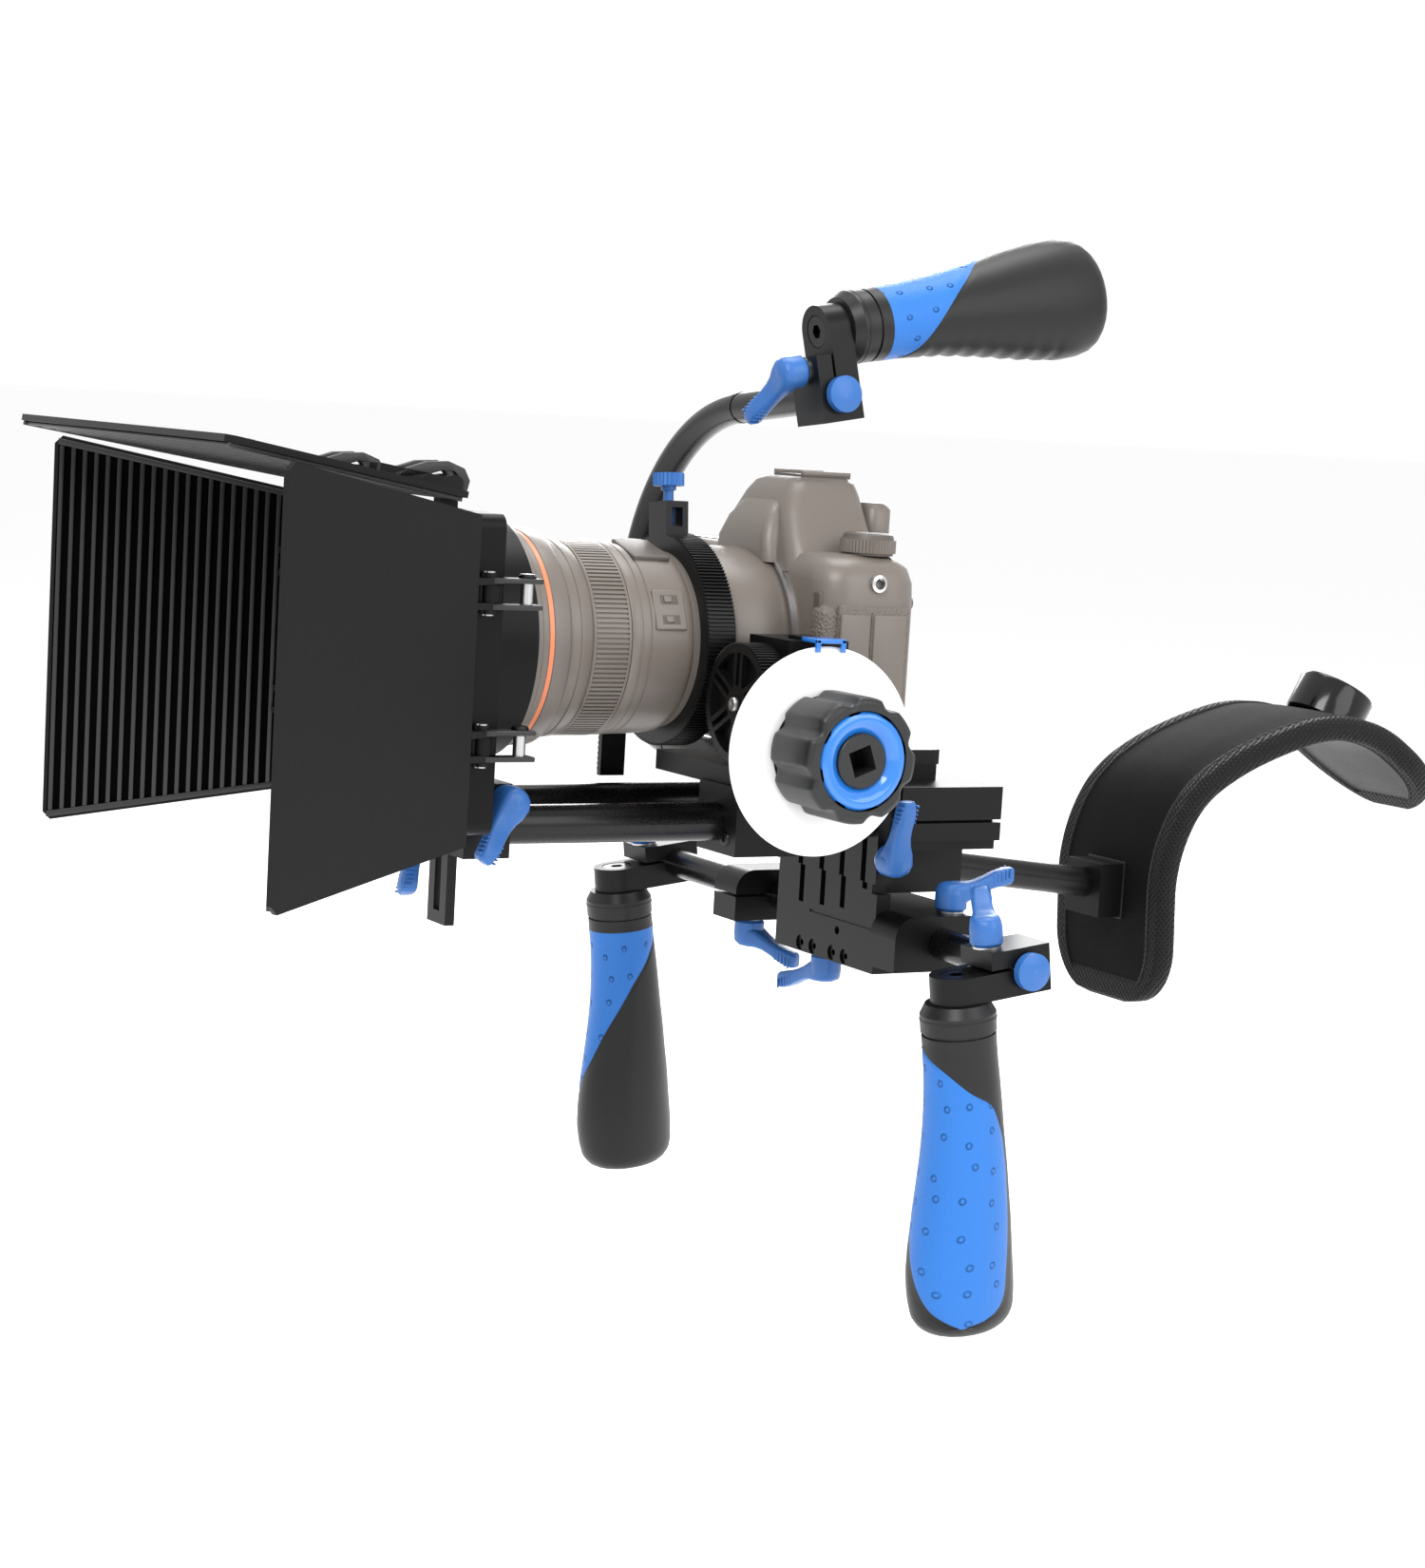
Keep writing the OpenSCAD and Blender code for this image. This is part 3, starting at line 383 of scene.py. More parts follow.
def grip(side, place, turn, low, high, towards, length, sway):
    """Rubber sleeve; its inlay's angles run from the photo's side of the grip towards a direction."""
    columns = 26
    back = place.inverted()
    to_camera = back @ CAMERA - Vector((0, EYE_Y, GRIP_MIDDLE))
    across = back.to_3x3() @ towards
    hand = 1 if to_camera.x * across.y - to_camera.y * across.x > 0 else -1
    front = math.degrees(math.atan2(to_camera.y, to_camera.x))
    shares = [0, 0.012] + [0.03 + 0.94 * i / 62 for i in range(63)] + [0.985, 0.996, 1.0]
    rings, marks, face_mats = [], [], []
    for t in shares:
        start = smooth_at(low, t)
        end = max(smooth_at(high, t), start + 2)
        on_inlay = INLAY_START < t < INLAY_END
        ring = []
        for first, last, blue in ((start, end, True), (end, start + 360, False)):
            for i in range(columns):
                side_angle = first + (last - first) * i / columns
                a = math.radians(front + hand * side_angle)
                r = grip_radius(t, a - math.radians(turn))
                if on_inlay and i == 0:
                    r -= INLAY_GROOVE
                elif on_inlay and blue:
                    r += INLAY_PROUD
                if side == "top" and RIBS_FROM < t < RIBS_TO:
                    r -= finger_dip(t, side_angle)
                middle = EYE_Y + sway * smooth_at(SWAY, t)
                ring.append((r * math.cos(a), middle + r * math.sin(a), GRIP_TOP - length * t))
                marks.append((18 * MM * math.radians(side_angle), length * MM * t))
        rings.append(ring)
    for t in shares[:-1]:
        face_mats += [int(INLAY_START < t < INLAY_LAST)] * columns + [0] * columns
    sleeve = loft(side + "_grip_rubber", rings, [GREY_GRIP, BLUE_GRIP], side + "_swivel", place, 70,
                  face_mats=face_mats)
    uv = sleeve.data.uv_layers.new(name="round")
    for loop in sleeve.data.loops:
        uv.data[loop.index].uv = marks[loop.vertex_index]
    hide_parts(side + "_grip")


def casting_details(side, place):
    washer(side + "_stud_washer", side + "_handle", place @ at(0, -11.5, 9.35), 5.6, 0, 0.7)
    line = [(14.95, 0), (15.0, 0.25), (15.0, 0.75), (14.95, 1.0)]
    lathe(side + "_collar_line", line, GREY_GRIP, side + "_swivel", place @ at(0, EYE_Y, -16.2), 64)


def washer(name, body, place, radius=5.4, low=-0.8, high=-0.05):
    lathe(name, [(2.6, low), (radius, low), (radius, high), (2.6, high)], STEEL, body, place, 40)


for grip_spec in (
    ("near", NEAR, 25, NEAR_LO, NEAR_HI, RIGHT, 116, 1),
    ("far", FAR, 25, FAR_LO, FAR_HI, RIGHT, 115, 1),
    ("top", TOP, 7, TOP_LO, TOP_HI, UP, 112, 0),
):
    grip(*grip_spec)
    casting_details(*grip_spec[:2])


# ---------- clamping levers ----------
LEVER_HUB = [(0, 0), (5.6, 0), (6.5, 1.2), (6.5, 6.5), (6.2, 8.6), (5.2, 10.4), (3.4, 11.4), (0.01, 11.7)]
# Wing as (distance from the stud, half width, lower height, upper height)
LEVER_WING = [(-5.6, 2.2, 3.2, 9.6), (-4.6, 4.4, 2.0, 10.6), (-1.5, 6.1, 1.4, 11.4), (2.5, 6.0, 1.9, 11.6),
              (6, 5.0, 3.9, 11.5), (9.5, 4.3, 6.2, 12.2), (13.5, 4.0, 8.2, 13.9), (17.5, 3.9, 9.6, 16.1),
              (21.5, 3.6, 10.5, 17.7), (24.3, 3.2, 11.3, 18.0), (25.4, 2.4, 12.0, 17.6)]


def lever(node, body, place):
    """Wing lever: a round hub and a wing that rises to a ribbed tip along local +X."""
    parts = [lathe(node + "_hub", LEVER_HUB, BLUE, body, place, 48)]
    rings = []
    for x, half, low, high in LEVER_WING:
        middle = (low + high) / 2
        corner = min(half, (high - low) / 2) * 0.55
        rings.append([(x, p, middle + q) for p, q in round_rect(2 * half, high - low, corner, 4)])
    parts.append(loft(node + "_wing", rings, [BLUE], body, place))
    for i in range(5):
        x = 16.6 + 1.7 * i
        low = 9.3 + 0.42 * (x - 12)
        for y in (-3.7, 3.7):
            parts.append(box("lever_rib", (x - 0.4, y - 0.35, low), (x + 0.4, y + 0.35, low + 4), BLUE, body,
                             0.2, place))
    parts.append(lathe(node + "_stud", [(2.45, -4), (2.45, 0.1)], STEEL, body, place, 24))
    whole = joined(node + "_look", parts)
    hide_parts(node)


for side, place, turn in (("near", NEAR, 150), ("far", FAR, 150), ("top", TOP, 40)):
    lever(side + "_handle_lever", side + "_lever_body", place @ at(0, -11.5, 10.2) @ rot(turn, "Z"))
for node, body, place in (
    ("right_clamp_lever", "base", at(47.6, 9.2, 26.9) @ rot(75, "Z")),
    ("left_clamp_lever", "base", at(-77.7, -9.2, 3.1) @ rot(180, "X") @ rot(-25, "Z")),
    ("lower_block_lever", "base", at(-13.3, -9.6, -0.9) @ rot(180, "X") @ rot(165, "Z")),
    ("riser_right_lever", "base", at(38.9, -17, 46.8) @ ALONG_X @ rot(185, "Z")),
    ("riser_left_lever", "base", at(-38.9, -17, 42) @ rot(-90, "Y") @ rot(15, "Z")),
    ("matte_clamp_lever", "matte_box", at(42.9, -190.5, 72.6) @ ALONG_X @ rot(-38, "Z")),
    ("height_bar_lever", "matte_box", at(0, -199.4, 56) @ AGAINST_Y @ rot(-60, "Z")),
):
    lever(node, node + "_body", place)
    washer(node + "_washer", body, place)


# ---------- shoulder pad ----------
# The pad's middle line starts at (y, z, heading) and follows (length, turn, steps) stretches, as in its CAD.
PAD_START = (130.0, -22.0, 93.0)
PAD_STRETCHES = ((48, 0, 26), (36, -32, 10), (22, -28, 10), (24, -11, 10), (28, -7, 10), (27, -22, 10),
                 (27, -26, 10), (44, -10, 26))
PAD_HALF = 38
PAD_HALF_THICK = 5.1
EDGE_ROUND = 3.2
LOWER_CORNER, REAR_CORNER = 27, 37
BINDING_WIDTH = 9.6
SEAM_INSET = 8.6
PAD_OFFSETS = [0, 0.35, 1.2, 2.6, 5, 9.6, 10.2, 10.9, 16, 24, 32]


def pad_line():
    """(y, z, heading in radians, length so far) along the middle of the pad."""
    y, z, a = PAD_START
    line = [(y, z, math.radians(a), 0.0)]
    for length, turn, n in PAD_STRETCHES:
        step = length / n
        for _ in range(n):
            mid = math.radians(a + turn / n / 2)
            y, z, a = y + step * math.cos(mid), z + step * math.sin(mid), a + turn / n
            line.append((y, z, math.radians(a), line[-1][3] + step))
    return line


def pad_half_width(s, total):
    """Half width at a length along the pad, narrowed by the round corners of its ends."""
    corner = LOWER_CORNER if s < total / 2 else REAR_CORNER
    reach = corner - min(s, total - s, corner)
    cut = corner - math.sqrt(corner**2 - reach**2)
    return PAD_HALF - 0.92 * cut


def off_line(x, point, height):
    """A point above the pad's middle line."""
    y, z, a, _ = point
    return x, y - height * math.sin(a), z + height * math.cos(a)


def pad_height(inset, to_end):
    """Half thickness at a distance from the side and from the end: a rounded edge and a crowned middle."""
    rise = min(inset, to_end + 0.6, EDGE_ROUND) / EDGE_ROUND
    level = 1 if min(inset, to_end + 0.6) < 10 else 0.93
    crown = 0.9 * min(1, max(0, (min(inset, to_end) - 11) / 14))
    return PAD_HALF_THICK * math.sqrt(1 - (1 - rise) ** 2) * level + crown


def pad_cover(line):
    total = line[-1][3]
    insets = PAD_OFFSETS + [PAD_HALF] + PAD_OFFSETS[::-1]
    middle = len(PAD_OFFSETS)
    rings = []
    for point in line:
        to_end = min(point[3], total - point[3])
        half = pad_half_width(point[3], total)
        across = []
        for i, inset in enumerate(insets):
            x = half - min(inset, half)
            across.append((-x if i < middle else x if i > middle else 0, inset))
        above = [off_line(x, point, pad_height(inset, to_end)) for x, inset in across]
        below = [off_line(x, point, -pad_height(inset, to_end)) for x, inset in across[::-1]]
        rings.append(above + below)
    face_mats = []
    last = len(insets) - 1
    for here, ahead in zip(line, line[1:]):
        at_end = min(here[3], total - ahead[3]) < BINDING_WIDTH
        for cover in (0, 2):
            for i in range(len(insets)):
                bound = min(insets[i], insets[min(i + 1, last)]) < BINDING_WIDTH
                face_mats.append(1 if bound or at_end else cover)
    cover = loft("shoulder_pad_cover", rings, [NEOPRENE, BINDING, LINING], "shoulder_support", HERE, 75,
                 face_mats=face_mats + [1, 1])
    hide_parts("shoulder_pad")


def pad_seams(line):
    """A raised thread along each side of both faces."""
    total = line[-1][3]
    for face in (1, -1):
        for side in (-1, 1):
            rings = []
            for point in line:
                if min(point[3], total - point[3]) < 8:
                    continue
                x = side * (pad_half_width(point[3], total) - SEAM_INSET)
                x, y, z = off_line(x, point, face * 5.2)
                rings.append([(x - 0.35, y, z), (x, y + 0.3, z + 0.3),
                              (x + 0.35, y, z), (x, y - 0.3, z - 0.3)])
            loft(signed(f"pad_stitch_{face}_{side}"), rings, [THREAD], "shoulder_support", smooth=0)


def counterweight():
    profile = [(0.01, 0), (16.8, 0), (17.5, 0.8), (17.5, 16), (16.8, 17.4), (15.2, 17.9), (14.4, 17.1),
               (0.01, 16.9)]
    weight = lathe("counterweight_look", profile, GLOSS, "shoulder_support",
                   at(-16, 248.8, 96.1) @ rot(-28.7, "X"))
    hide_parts("counterweight")


middle_line = pad_line()
pad_cover(middle_line)
pad_seams(middle_line)
counterweight()
box("pad_plate", (-13, 121.2, 14), (13, 124, 39), BLACK, "shoulder_support", 0.8)


# ---------- matte box ----------
HINGE_Y = -218
FLAG_OPEN = 22
NEAR_FLAG = at(77, HINGE_Y, 121) @ rot(FLAG_OPEN, "Z")
FAR_FLAG = at(-77, HINGE_Y, 121) @ rot(-FLAG_OPEN, "Z") @ Matrix.Scale(-1, 4, (1, 0, 0))
TOP_FLAG = at(0, HINGE_Y, 188) @ rot(-9, "X")
SIDE_FLAGS = (("near", NEAR_FLAG), ("far", FAR_FLAG))
UPRIGHT = Matrix(((0, 0, 1, 0), (1, 0, 0, 0), (0, 1, 0, 0), (0, 0, 0, 1)))


def flag_ribs(name, body, place, rear, front, length, up):
    """Ribs on a flag's inner face, which widens along local -Y; they stand along local Z times up."""
    n = 21
    low = 1.5 - length
    parts = []
    for i in range(n):
        y = -3 - (length - 6) * i / (n - 1)
        half = rear + (front - rear) * (-y / length) - 3
        parts.append(box(f"{name}_{i}", (-half, y - 0.9, 0), (half, y + 0.9, 1.3 * up), RIB, body, 0.35,
                         place))
    rim = [(rear - 3, -1.5), (rear - 1, -1.5), (front - 1, low), (front - 3.4, low)]
    parts.append(prism(name + "_rim-1", [(-x, y) for x, y in rim], 1.6 * up, RIB, body, place, 0.2))
    parts.append(prism(name + "_rim1", rim[::-1], 1.6 * up, RIB, body, place, 0.2))
    # The bed under the ribs is a near-black sheet: painted shade in the grooves between them.
    bed = [(3 - rear, -1.5), (rear - 3, -1.5), (front - 3, low), (3 - front, low)]
    parts.append(prism(name + "_bed", bed, 0.25 * up, GROOVE_SHADE, body, place, 0))
    joined(name, parts)


def flag_hinges():
    """Hooked arms and rivets on the top flag, and pins on the side flags."""
    for x in (84, 92):
        lathe(f"flag_rivet_{x}", [(0.01, 0.9), (1.4, 0.8), (2.0, 0)], STEEL, "top_flag_body",
              TOP_FLAG @ at(x, -99, -1.5), 24)
    arch = [(-24, -1.6), (-24, 0.8), (-19, 3.4), (-12, 7.0), (-4, 8.8), (3, 7.4), (6, 3.4), (5.6, -0.5),
            (3.4, -1.2), (2.6, 3), (-1, 5.4), (-5.5, 5), (-11, 2.4), (-15, -1.6)]
    for side in (-1, 1):
        for x in (side * 38 - 6.4, side * 38 + 3.4):
            prism(signed(f"hinge_arch_{side}_{int(x)}"), arch[::-1], 3, RIB, "top_flag_body",
                  TOP_FLAG @ at(x, 0, 0) @ UPRIGHT, 0.4)
    pin = [(0.01, 0), (2.2, 0), (2.2, 0.8), (0.01, 0.8)]
    for name, place in SIDE_FLAGS:
        for z in (31, -23.5):
            for lift in (-7.9, 7.1):
                lathe(signed(f"{name}_pin_{int(z)}_{int(lift)}"), pin, STEEL, name + "_flag_body",
                      place @ at(0, 0, z + lift), 24)


def side_clevis(side, z):
    """Two plates and a screw that carry a side flag's hinge; side is -1 for the far one."""
    body = "matte_box"
    parts = []
    for lift in (-5.6, 3.8):
        low = z + lift
        parts.append(box("clevis", (74, -215, low), (81, -198, low + 1.9), RIB, body, 0.5))
        eye = [(0.01, 0), (4.2, 0), (4.2, 1.9), (0.01, 1.9)]
        parts.append(lathe("clevis_eye", eye, RIB, body, at(77, -215.5, low), 32))
    screw = at(77.4, -203, z)
    parts.append(lathe("clevis_pin", [(2.3, -4), (2.3, 4.4)], STEEL, body, screw, 24))
    head = [(0.01, 7.4), (2.6, 7.2), (3.2, 6.6), (3.2, 5.7)]
    parts.append(lathe("clevis_head", head, DARK_STEEL, body, screw, 28))
    clevis = joined(signed(f"side_clevis_{side}_{int(z)}"), parts)
    if side < 0:
        for vertex in clevis.data.vertices:
            vertex.co.x = -vertex.co.x
        clevis.data.flip_normals()


for name, place in SIDE_FLAGS:
    face = place @ at(1.0, -9, 0) @ rot(-90, "Y")
    flag_ribs(name + "_flag_ribs", name + "_flag_body", face, 59, 75.5, 95, 1)
flag_ribs("top_flag_ribs", "top_flag_body", TOP_FLAG @ at(0, -5.5, -3.9), 69, 109, 108.5, -1)
flag_hinges()
for side in (-1, 1):
    for z in (152, 97.5):
        side_clevis(side, z)


# ---------- lens ----------
LENS_CENTRE = at(0, 0, 130.4)
LENS = LENS_CENTRE @ ALONG_Y
SEAT_R = 34.6


def lens_barrel():
    throat = [(34, -172), (34, -176), (35.5, -181), (36.5, -184), (38, -185.6)]
    rim = [(42.6, -185.6), (43.3, -185), (43.3, -181.6), (42.9, -181.3), (42.9, -180.6), (43.3, -180.3),
           (43.3, -178), (42.5, -177.2), (42.5, -175.2), (41.6, -174.2), (41.3, -174)]
    bell = [(41.3, -172.2), (41.6, -171.9), (41.6, -166), (41.1, -165), (38.9, -163.6), (38.7, -160.2),
            (38.3, -160), (38.3, -159.4), (38.6, -159.2), (38.3, -155.4), (37.6, -154.1), (SEAT_R, -154)]
    spans = [2] * (len(throat) - 1) + [0] * len(rim) + [1] + [0] * (len(bell) - 1)
    front = lathe("lens_front", throat + rim + bell, [TAUPE, ORANGE, HOOD], "base", LENS, 128, spans)
    switch_part = [(SEAT_R, -137), (37.2, -136.9), (37.6, -136.2), (37.6, -133.4), (37.1, -133.1),
                   (37.1, -132.4), (37.4, -132.1), (37.4, -129.6), (36.9, -129.3), (36.9, -128.6),
                   (37.3, -128.3), (37.1, -119), (36.7, -113), (36.3, -110.8), (35.4, -109.4), (34.7, -109)]
    mount_part = [(SEAT_R, -92), (37, -91.6), (37.4, -90.8), (37.4, -67), (37, -66.1), (30, -66.1)]
    rear = lathe("lens_rear", switch_part + mount_part, TAUPE, "base", LENS, 128)
    seat = lathe("lens_seat", [(SEAT_R, -154.1), (SEAT_R, -136.9)], TAUPE_DARK, "base", LENS, 96)
    whole = joined("lens_barrel_look", [front, rear, seat])
    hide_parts("lens_barrel")


def zoom_ring():
    body = "zoom_ring_body"
    profile = [(34.7, -153.8), (37.3, -153.8), (37.8, -153.3), (37.8, -152.6), (37.2, -152.4),
               (37.2, -138.8), (37.8, -138.6), (37.8, -137.7), (37.3, -137.2), (34.7, -137.2)]
    base = lathe("zoom_base", profile, TAUPE, body, LENS, 128)
    verts, faces = [], []
    for i, a in enumerate(angles(124)):
        for turn in (-0.014, 0.014):
            for y in (-152.5, -138.7):
                for r in (37.1, 37.85):
                    verts.append((r * math.cos(a + turn), r * math.sin(a + turn), y))
        for face in ((1, 3, 7, 5), (0, 1, 5, 4), (2, 6, 7, 3), (0, 2, 3, 1), (4, 5, 7, 6)):
            faces.append(tuple(8 * i + corner for corner in face))
    ribs = mesh("zoom_ribs", verts, faces, [TAUPE], body, LENS, 0)
    ring = joined("zoom_ring_look", [base, ribs])
    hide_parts("zoom_ring")


def lens_switches():
    panel = LENS_CENTRE @ rot(-22, "Y")
    box("lens_switches", (35.6, -127, -8), (37.7, -113.5, 8), TAUPE, "base", 0.7, panel)
    for z in (-4, 4):
        box(f"lens_slot_{z + 4}", (37.5, -124, z - 1.8), (37.85, -116.5, z + 1.8), TAUPE_DARK, "base",
            0.1, panel)
        box(f"lens_slider_{z + 4}", (37.6, -122.6, z - 1.2), (38.5, -119.4, z + 1.2), TAUPE, "base",
            0.3, panel)
    box("lens_window", (35.2, -129, -10), (37.6, -113, 10), TAUPE_DARK, "base", 0.7,
        LENS_CENTRE @ rot(-74, "Y"))


lens_barrel()
zoom_ring()
lens_switches()


# ---------- camera ----------
def slab(name, rows, mat, cx, cy):
    """A rounded block; each row is (height, width, depth, corner radius, shift back)."""
    rings = []
    for z, w, d, r, back in rows:
        corner = min(r, w / 2 - 0.1, d / 2 - 0.1)
        rings.append([(cx + p, cy + back + q, z) for p, q in round_rect(w, d, corner, 8)])
    return loft(name, rings, [mat], "base", smooth=50)


def camera_blocks():
    main = [(88.6, 144, 38, 10, 0), (90.5, 149, 43, 12, 0), (94, 151.6, 45, 13, 0), (150, 152, 45, 13, 0),
            (158, 151, 44.6, 13, 0), (163.5, 147, 42, 13, 0), (167, 139, 37, 13, 0), (168.4, 128, 30, 12, 0)]
    hand_grip = [(92, 24, 20, 9, 0), (95, 29, 26, 11, 0), (150, 30, 28, 12, 0), (157, 28, 26, 12, 1),
                 (161, 22, 20, 9, 2)]
    prism_hump = [(160, 74, 42, 10, 0), (168, 66, 41, 9, 0), (174, 58, 40, 8, 0.5), (182, 48, 38, 7, 1),
                  (190, 39, 35, 7, 2), (194.5, 33, 31, 6, 3), (196.6, 26, 25, 6, 4)]
    nose = [(163, 44, 14, 5, 0), (172, 40, 15, 5, 0.5), (180, 34, 14, 5, 2.5), (187, 26, 10, 4, 6)]
    eyecup = [(165.5, 36, 10, 4, 0), (167, 39, 12, 5, 0), (185, 39, 12, 5, 0), (187.5, 34, 9, 4, 0)]
    return [slab("cam_main", main, TAUPE, -16, -43.5), slab("cam_grip", hand_grip, SKIN, -77, -72),
            slab("cam_prism", prism_hump, TAUPE, 0, -45), slab("cam_prism_nose", nose, TAUPE, 0, -64),
            slab("cam_eyecup", eyecup, TAUPE, 0, -17)]


def camera_boxes():
    """Skin panels, port doors, badge, shoe and screen, as (low corner, high corner, look, bevel)."""
    rows = [
        ((47, -66.8, 96), (58.4, -40, 150), SKIN, 5), ((56, -60, 96), (60.7, -27, 150), SKIN, 2.2),
        ((59.6, -44.5, 101), (61.4, -29.5, 146), TAUPE, 0.7),
        ((59.6, -59.5, 101), (61.3, -46, 146), TAUPE, 0.7),
        ((60, -45.5, 100), (61.0, -45, 147), TAUPE_DARK, 0.1),
        ((42, -65.6, 143), (54, -63, 154), TAUPE_DARK, 0.8),
        ((-11.5, -50, 196.4), (11.5, -28, 197.6), TAUPE_DARK, 0.3),
        ((-11.7, -50, 197.4), (-9.1, -28, 199), TAUPE, 0.3),
        ((9.1, -50, 197.4), (11.7, -28, 199), TAUPE, 0.3),
        ((-32, -22, 96), (32, -19.6, 142), SCREEN, 1),
    ]
    return [box("cam_box", lo, hi, mat, "base", bevel) for lo, hi, mat, bevel in rows]


def lens_mount():
    mount = [(30, -66.4), (38, -66.4), (40.5, -65.4), (43, -63), (46, -58)]
    mount_ring = [(38.4, -67.6), (39.6, -67.6), (39.6, -66), (38.4, -66)]
    return [lathe("cam_mount", mount, TAUPE, "base", LENS),
            lathe("cam_mount_ring", mount_ring, STEEL, "base", LENS)]


def camera_controls():
    """Rear buttons, strap lug, lens release, orange lamp and top display."""
    parts = []
    for x, z in ((-44, 150), (-52, 152), (-60, 150), (40, 150), (48, 150), (40, 100), (40, 110), (40, 120),
                 (40, 130)):
        parts.append(lathe("cam_button", [(0.01, 1.2), (2.6, 1.2), (3.1, 0)], TAUPE_DARK, "base",
                           at(x, -21.3, z) @ ALONG_Y, 28))
    parts.append(lathe("cam_lug", [(2.2, 0), (3.4, 0.4), (3.4, 2.2), (2.2, 2.6)], STEEL, "base",
                       at(59, -43, 158) @ ALONG_X, 28))
    parts.append(lathe("cam_release", [(0.01, 2.6), (5.2, 2.2), (6.2, 0)], TAUPE, "base",
                       at(46, -66, 112) @ AGAINST_Y, 32))
    parts.append(lathe("cam_lamp", [(0.01, 1.2), (1.6, 0.9), (2, 0)], ORANGE, "base",
                       at(43, -64.6, 134) @ AGAINST_Y, 24))
    parts.append(box("cam_top_lcd", (-70, -58, 166.6), (-36, -34, 168.9), SCREEN, "base", 0.8))
    return parts


def mode_dial():
    body = "mode_dial_body"
    place = at(43, -38, 169.2)
    knurl = [((11 if i % 2 else 10.5) * math.cos(a), (11 if i % 2 else 10.5) * math.sin(a))
             for i, a in enumerate(angles(96))]
    parts = [
        prism("mode_dial_knurl", knurl, 5.2, TAUPE, body, place, 0),
        lathe("mode_dial_cap", [(0.01, 7.6), (8.6, 7.6), (9.6, 7), (10.2, 5.4), (10.4, 5.2)], TAUPE_DARK,
              body, place, 64),
        lathe("mode_dial_foot", [(10, -1), (10, 0.1)], TAUPE_DARK, body, place, 64),
    ]
    dial = joined("mode_dial_look", parts)
    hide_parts("mode_dial")


camera_parts = camera_blocks() + lens_mount() + camera_boxes() + camera_controls()
camera_look = joined("camera_look", camera_parts)
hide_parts("camera_body")
mode_dial()


# ---------- follow focus ----------
KNOB_PLACE = at(0, -82, 96.219) @ ALONG_X
KNOB_R = 23.8
KNOB_FACE = 118
SCALLOP_DEPTH = 2.3
SOCKET_HALF, SOCKET_TURN = 4.8, 20
FINE = 256


def scalloped():
    """The knob's outline: a circle with eight hollows."""
    outline = []
    for a in angles(FINE):
        near_hollow = abs(math.cos(4 * (a - math.radians(16))))
        r = KNOB_R - SCALLOP_DEPTH * max(0, (near_hollow - 0.72) / 0.28) ** 1.3
        outline.append((r * math.cos(a), r * math.sin(a)))
    return outline


def square_socket():
    """A square with the points of a circle, so that it can be lofted to one."""
    outline = []
    for a, turned in zip(angles(FINE), angles(FINE, SOCKET_TURN)):
        r = SOCKET_HALF / max(abs(math.cos(a)), abs(math.sin(a)))
        outline.append((r * math.cos(turned), r * math.sin(turned)))
    return outline


def focus_knob():
    outline, square = scalloped(), square_socket()
    skirt_rows = [(89.3, 0.9), (89.8, 0.96), (91, 0.99), (93, 1), (114.5, 1), (116.6, 0.985), (117.6, 0.95),
                  (KNOB_FACE, 0.9)]
    skirt = [raised(outline, z, scale) for z, scale in skirt_rows]
    face = [raised(outline, KNOB_FACE, 0.9), raised(outline, KNOB_FACE, 0.8),
            raised(circle(18.7, FINE), KNOB_FACE), raised(circle(18.3, FINE), KNOB_FACE - 1)]
    ring = [(18.4, 116), (18.3, 117.3), (17.4, 118.5), (15.8, 119.0), (14, 118.6), (12.4, 117.4),
            (11.2, 116.2), (10.2, 115.6)]
    hub = [raised(circle(10.3, FINE, SOCKET_TURN), 115), raised(circle(10.3, FINE, SOCKET_TURN), 117.0),
           raised(circle(9.8, FINE, SOCKET_TURN), 117.4), raised(square, 117.4), raised(square, 106.2)]
    parts = [
        loft("knob_skirt", skirt, [KNOB], "knob", KNOB_PLACE, 50, False),
        loft("knob_face", face, [KNOB], "knob", KNOB_PLACE, 40, False),
        lathe("knob_back", [(4.1, 89.3), (21.4, 89.3)], KNOB, "knob", KNOB_PLACE),
        lathe("knob_ring", ring, BLUE_GLOSS, "knob", KNOB_PLACE),
        loft("knob_hub", hub, [KNOB], "knob", KNOB_PLACE, 35, False),
        # The socket's floor takes the hood's near-black, darker than the knob's grey walls: painted shade at
        # the bottom of the hole.
        lathe("knob_socket_shade_floor", [(0.01, 106.3), (6.8, 106.3)], HOOD, "knob", KNOB_PLACE, 32),
    ]
    knob = joined("focus_knob_look", parts)
    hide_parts("focus_knob")


def marking_disc():
    profile = [(4.1, 87), (38.6, 87), (39.6, 87.6), (39.6, 88.4), (38.8, 89), (4.1, 89)]
    disc = lathe("disc_look", profile, WHITE, "knob", KNOB_PLACE, 128)
    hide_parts("marking_disc")


def pointer():
    """Blue bracket that points at the disc's marks."""
    box("pointer_top", (80, -88.5, 137.1), (91.2, -75.5, 138.8), BLUE_GLOSS, "base", 0.3)
    for y in (-88.5, -77.5):
        box(f"pointer_leg_{int(-y)}", (89.8, y, 133.8), (91.2, y + 2, 138.6), BLUE_GLOSS, "base", 0.3)
    box("pointer_base", (66, -86, 136.6), (80.6, -78, 138.6), BLACK, "base", 0.4)


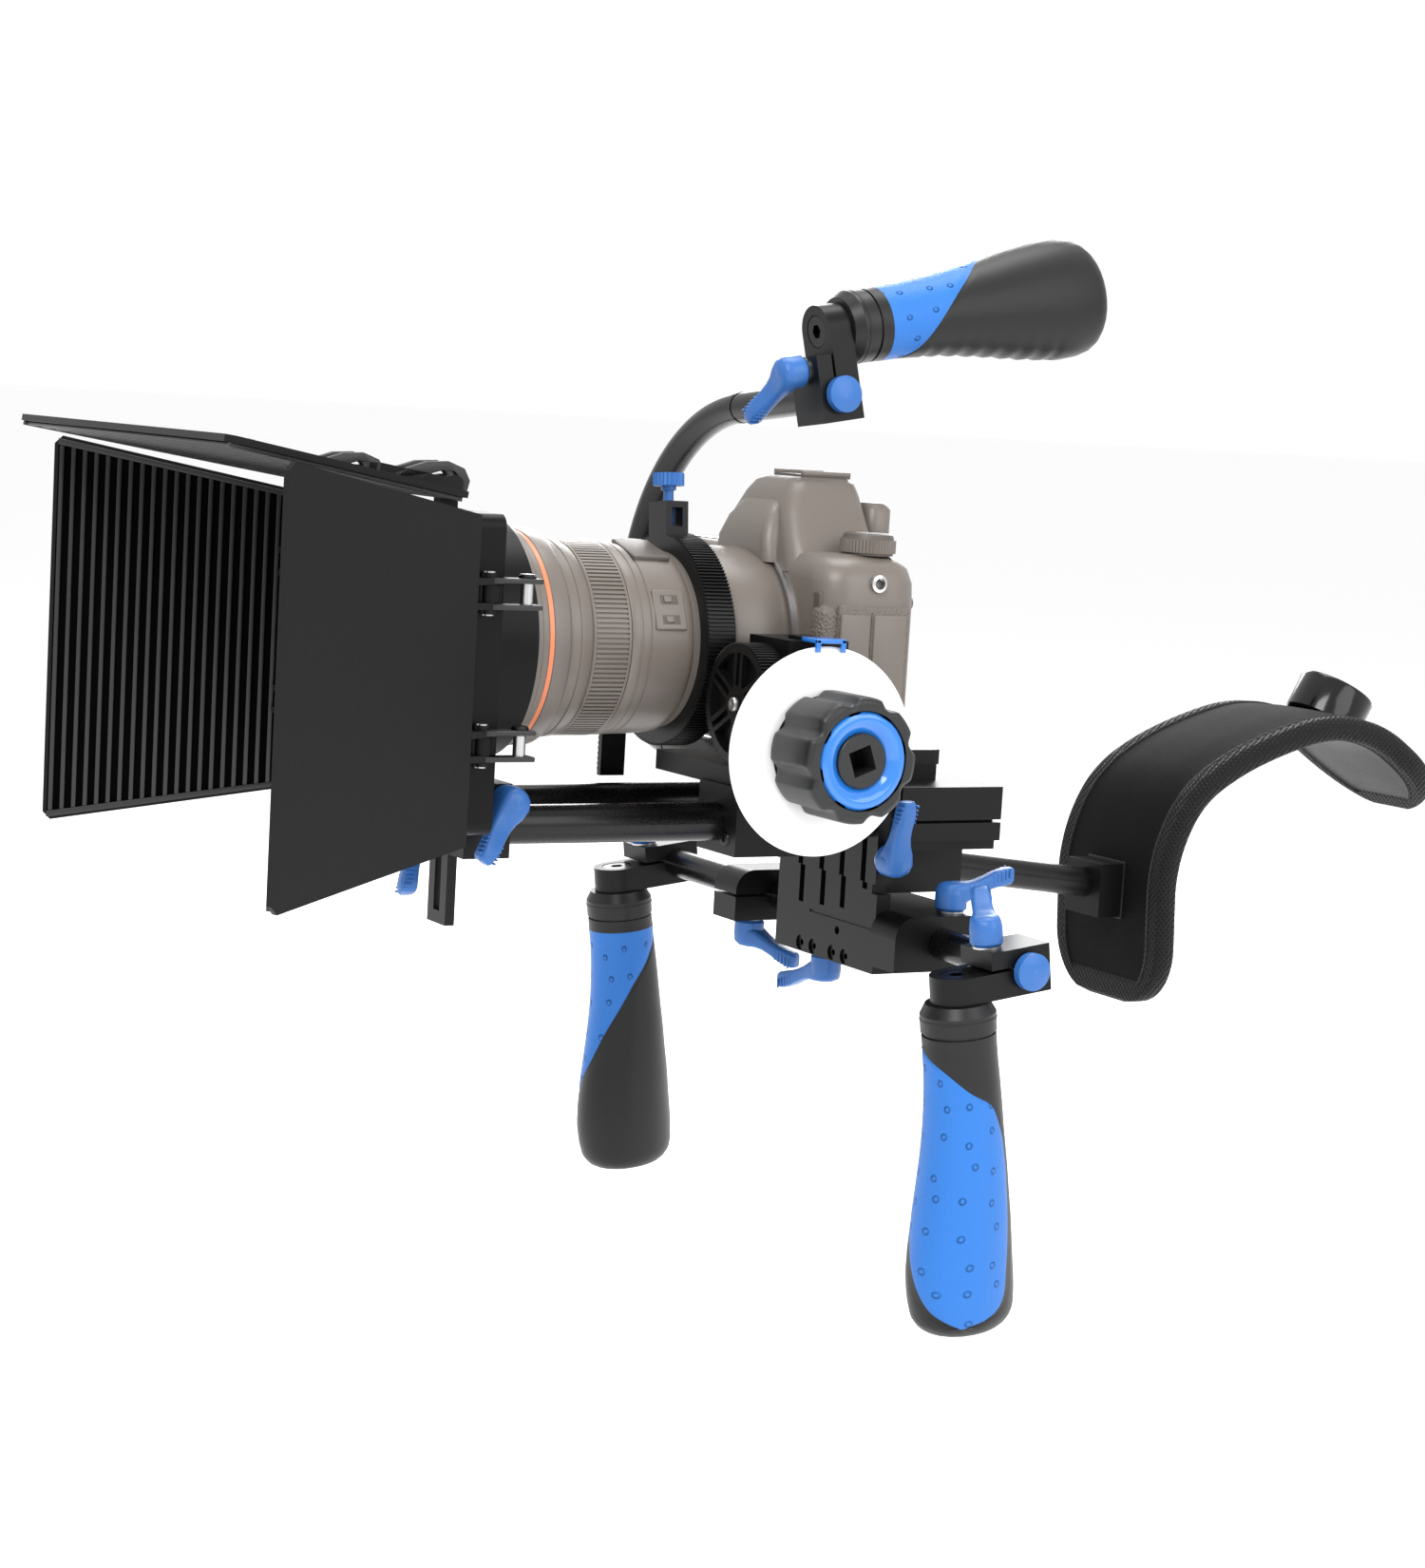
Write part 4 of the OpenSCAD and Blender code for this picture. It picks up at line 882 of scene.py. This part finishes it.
def screw_heads():
    small = [(0.9, 0.2), (1.0, 0.9), (2.2, 0.9), (2.5, 0.4), (2.5, 0)]
    socket = [(1.2, -0.6), (1.2, 0.6), (2.8, 0.6), (3.1, 0)]
    gear_screw = [(0.9, 0.2), (1.1, 1.2), (2.4, 1.2), (2.8, 0.5), (2.8, 0)]
    for i, (y, z) in enumerate(((-88, 90), (-88, 131), (-70, 90), (-70, 131))):
        lathe(f"gearbox_screw_{i}", small, STEEL, "base", at(78, y, z) @ ALONG_X, 24)
    for x in (22, 38):
        lathe(f"bracket_screw_{x}", socket, DARK_STEEL, "base", at(x, -92, 56) @ AGAINST_Y, 24)
    lathe("drive_gear_screw", gear_screw, STEEL, "drive_gear_body",
          at(61.582, -105.3, 111.219) @ AGAINST_Y, 28)


def strap_teeth():
    """Teeth on the tail of the lens gear ring's strap."""
    teeth = []
    for i in range(26):
        z = 73 + 2.1 * i
        teeth.append(box(f"strap_tooth_{i}", (-44.9, -105.8, z), (-43.8, -95, z + 1.1), GEAR,
                         "lens_gear_ring_body", 0.15))
    joined("strap_teeth", teeth)


def riser_screw_rims():
    rim = [(2.1, 0.1), (2.9, 0.1), (3.0, -0.4)]
    for i, x in enumerate((-18.2, -8.3, 6.6, 16.1)):
        lathe(f"riser_screw_rim_{i}", rim, DARK_STEEL, "base", at(x, -19.1, 3.5) @ AGAINST_Y, 28)


focus_knob()
marking_disc()
pointer()
screw_heads()
strap_teeth()
riser_screw_rims()


# ---------- surroundings, in metres ----------
FLOOR_HALF, FLOOR_Z = 60.0, -0.17
LIGHTS = (
    ("key", (1.1, -1.2, 1.5), (0, -0.05, 0.1), 26, 0.9),
    ("fill", (1.6, 0.6, 0.9), (0, 0, 0.1), 12, 1.2),
    ("top", (-0.3, 0.2, 1.8), (0, 0, 0.1), 18, 1.0),
    ("rim", (-1.4, 0.9, 0.8), (0, 0, 0.1), 14, 0.8),
)


def floor():
    paint = bpy.data.materials.new("floor")
    paint.use_nodes = True
    bsdf = paint.node_tree.nodes["Principled BSDF"]
    bsdf.inputs["Base Color"].default_value = (0.97, 0.97, 0.97, 1)
    bsdf.inputs["Roughness"].default_value = 0.9
    corners = [(x * FLOOR_HALF, y * FLOOR_HALF, FLOOR_Z) for x, y in ((-1, -1), (1, -1), (1, 1), (-1, 1))]
    data = bpy.data.meshes.new("floor")
    data.from_pydata(corners, [], [(0, 1, 2, 3)])
    data.materials.append(paint)
    sheet = bpy.data.objects.new("floor", data)
    bpy.context.scene.collection.objects.link(sheet)


def area_light(name, place, aim, energy, size):
    data = bpy.data.lights.new(name, "AREA")
    data.energy = energy
    data.size = size
    lamp = bpy.data.objects.new(name, data)
    lamp.location = place
    lamp.rotation_euler = (Vector(aim) - Vector(place)).to_track_quat("-Z", "Y").to_euler()
    bpy.context.scene.collection.objects.link(lamp)


def white_world():
    world = bpy.data.worlds.new("world")
    bpy.context.scene.world = world
    world.use_nodes = True
    background = world.node_tree.nodes["Background"]
    background.inputs["Color"].default_value = (1, 1, 1, 1)
    background.inputs["Strength"].default_value = 1.0


def photo_camera():
    data = bpy.data.cameras.new("camera")
    data.sensor_fit = "VERTICAL"
    data.sensor_height = 36
    data.lens = 74.68
    data.clip_end = 200
    camera = bpy.data.objects.new("camera", data)
    away = Vector((0.85881, -0.49911, 0.11550))
    rows = [(RIGHT[i], UP[i], away[i], CAMERA[i] * MM) for i in range(3)]
    camera.matrix_world = Matrix(rows + [(0, 0, 0, 1)])
    bpy.context.scene.collection.objects.link(camera)
    bpy.context.scene.camera = camera


floor()
white_world()
for lamp_spec in LIGHTS:
    area_light(*lamp_spec)
photo_camera()
bpy.context.scene.view_settings.view_transform = "Standard"
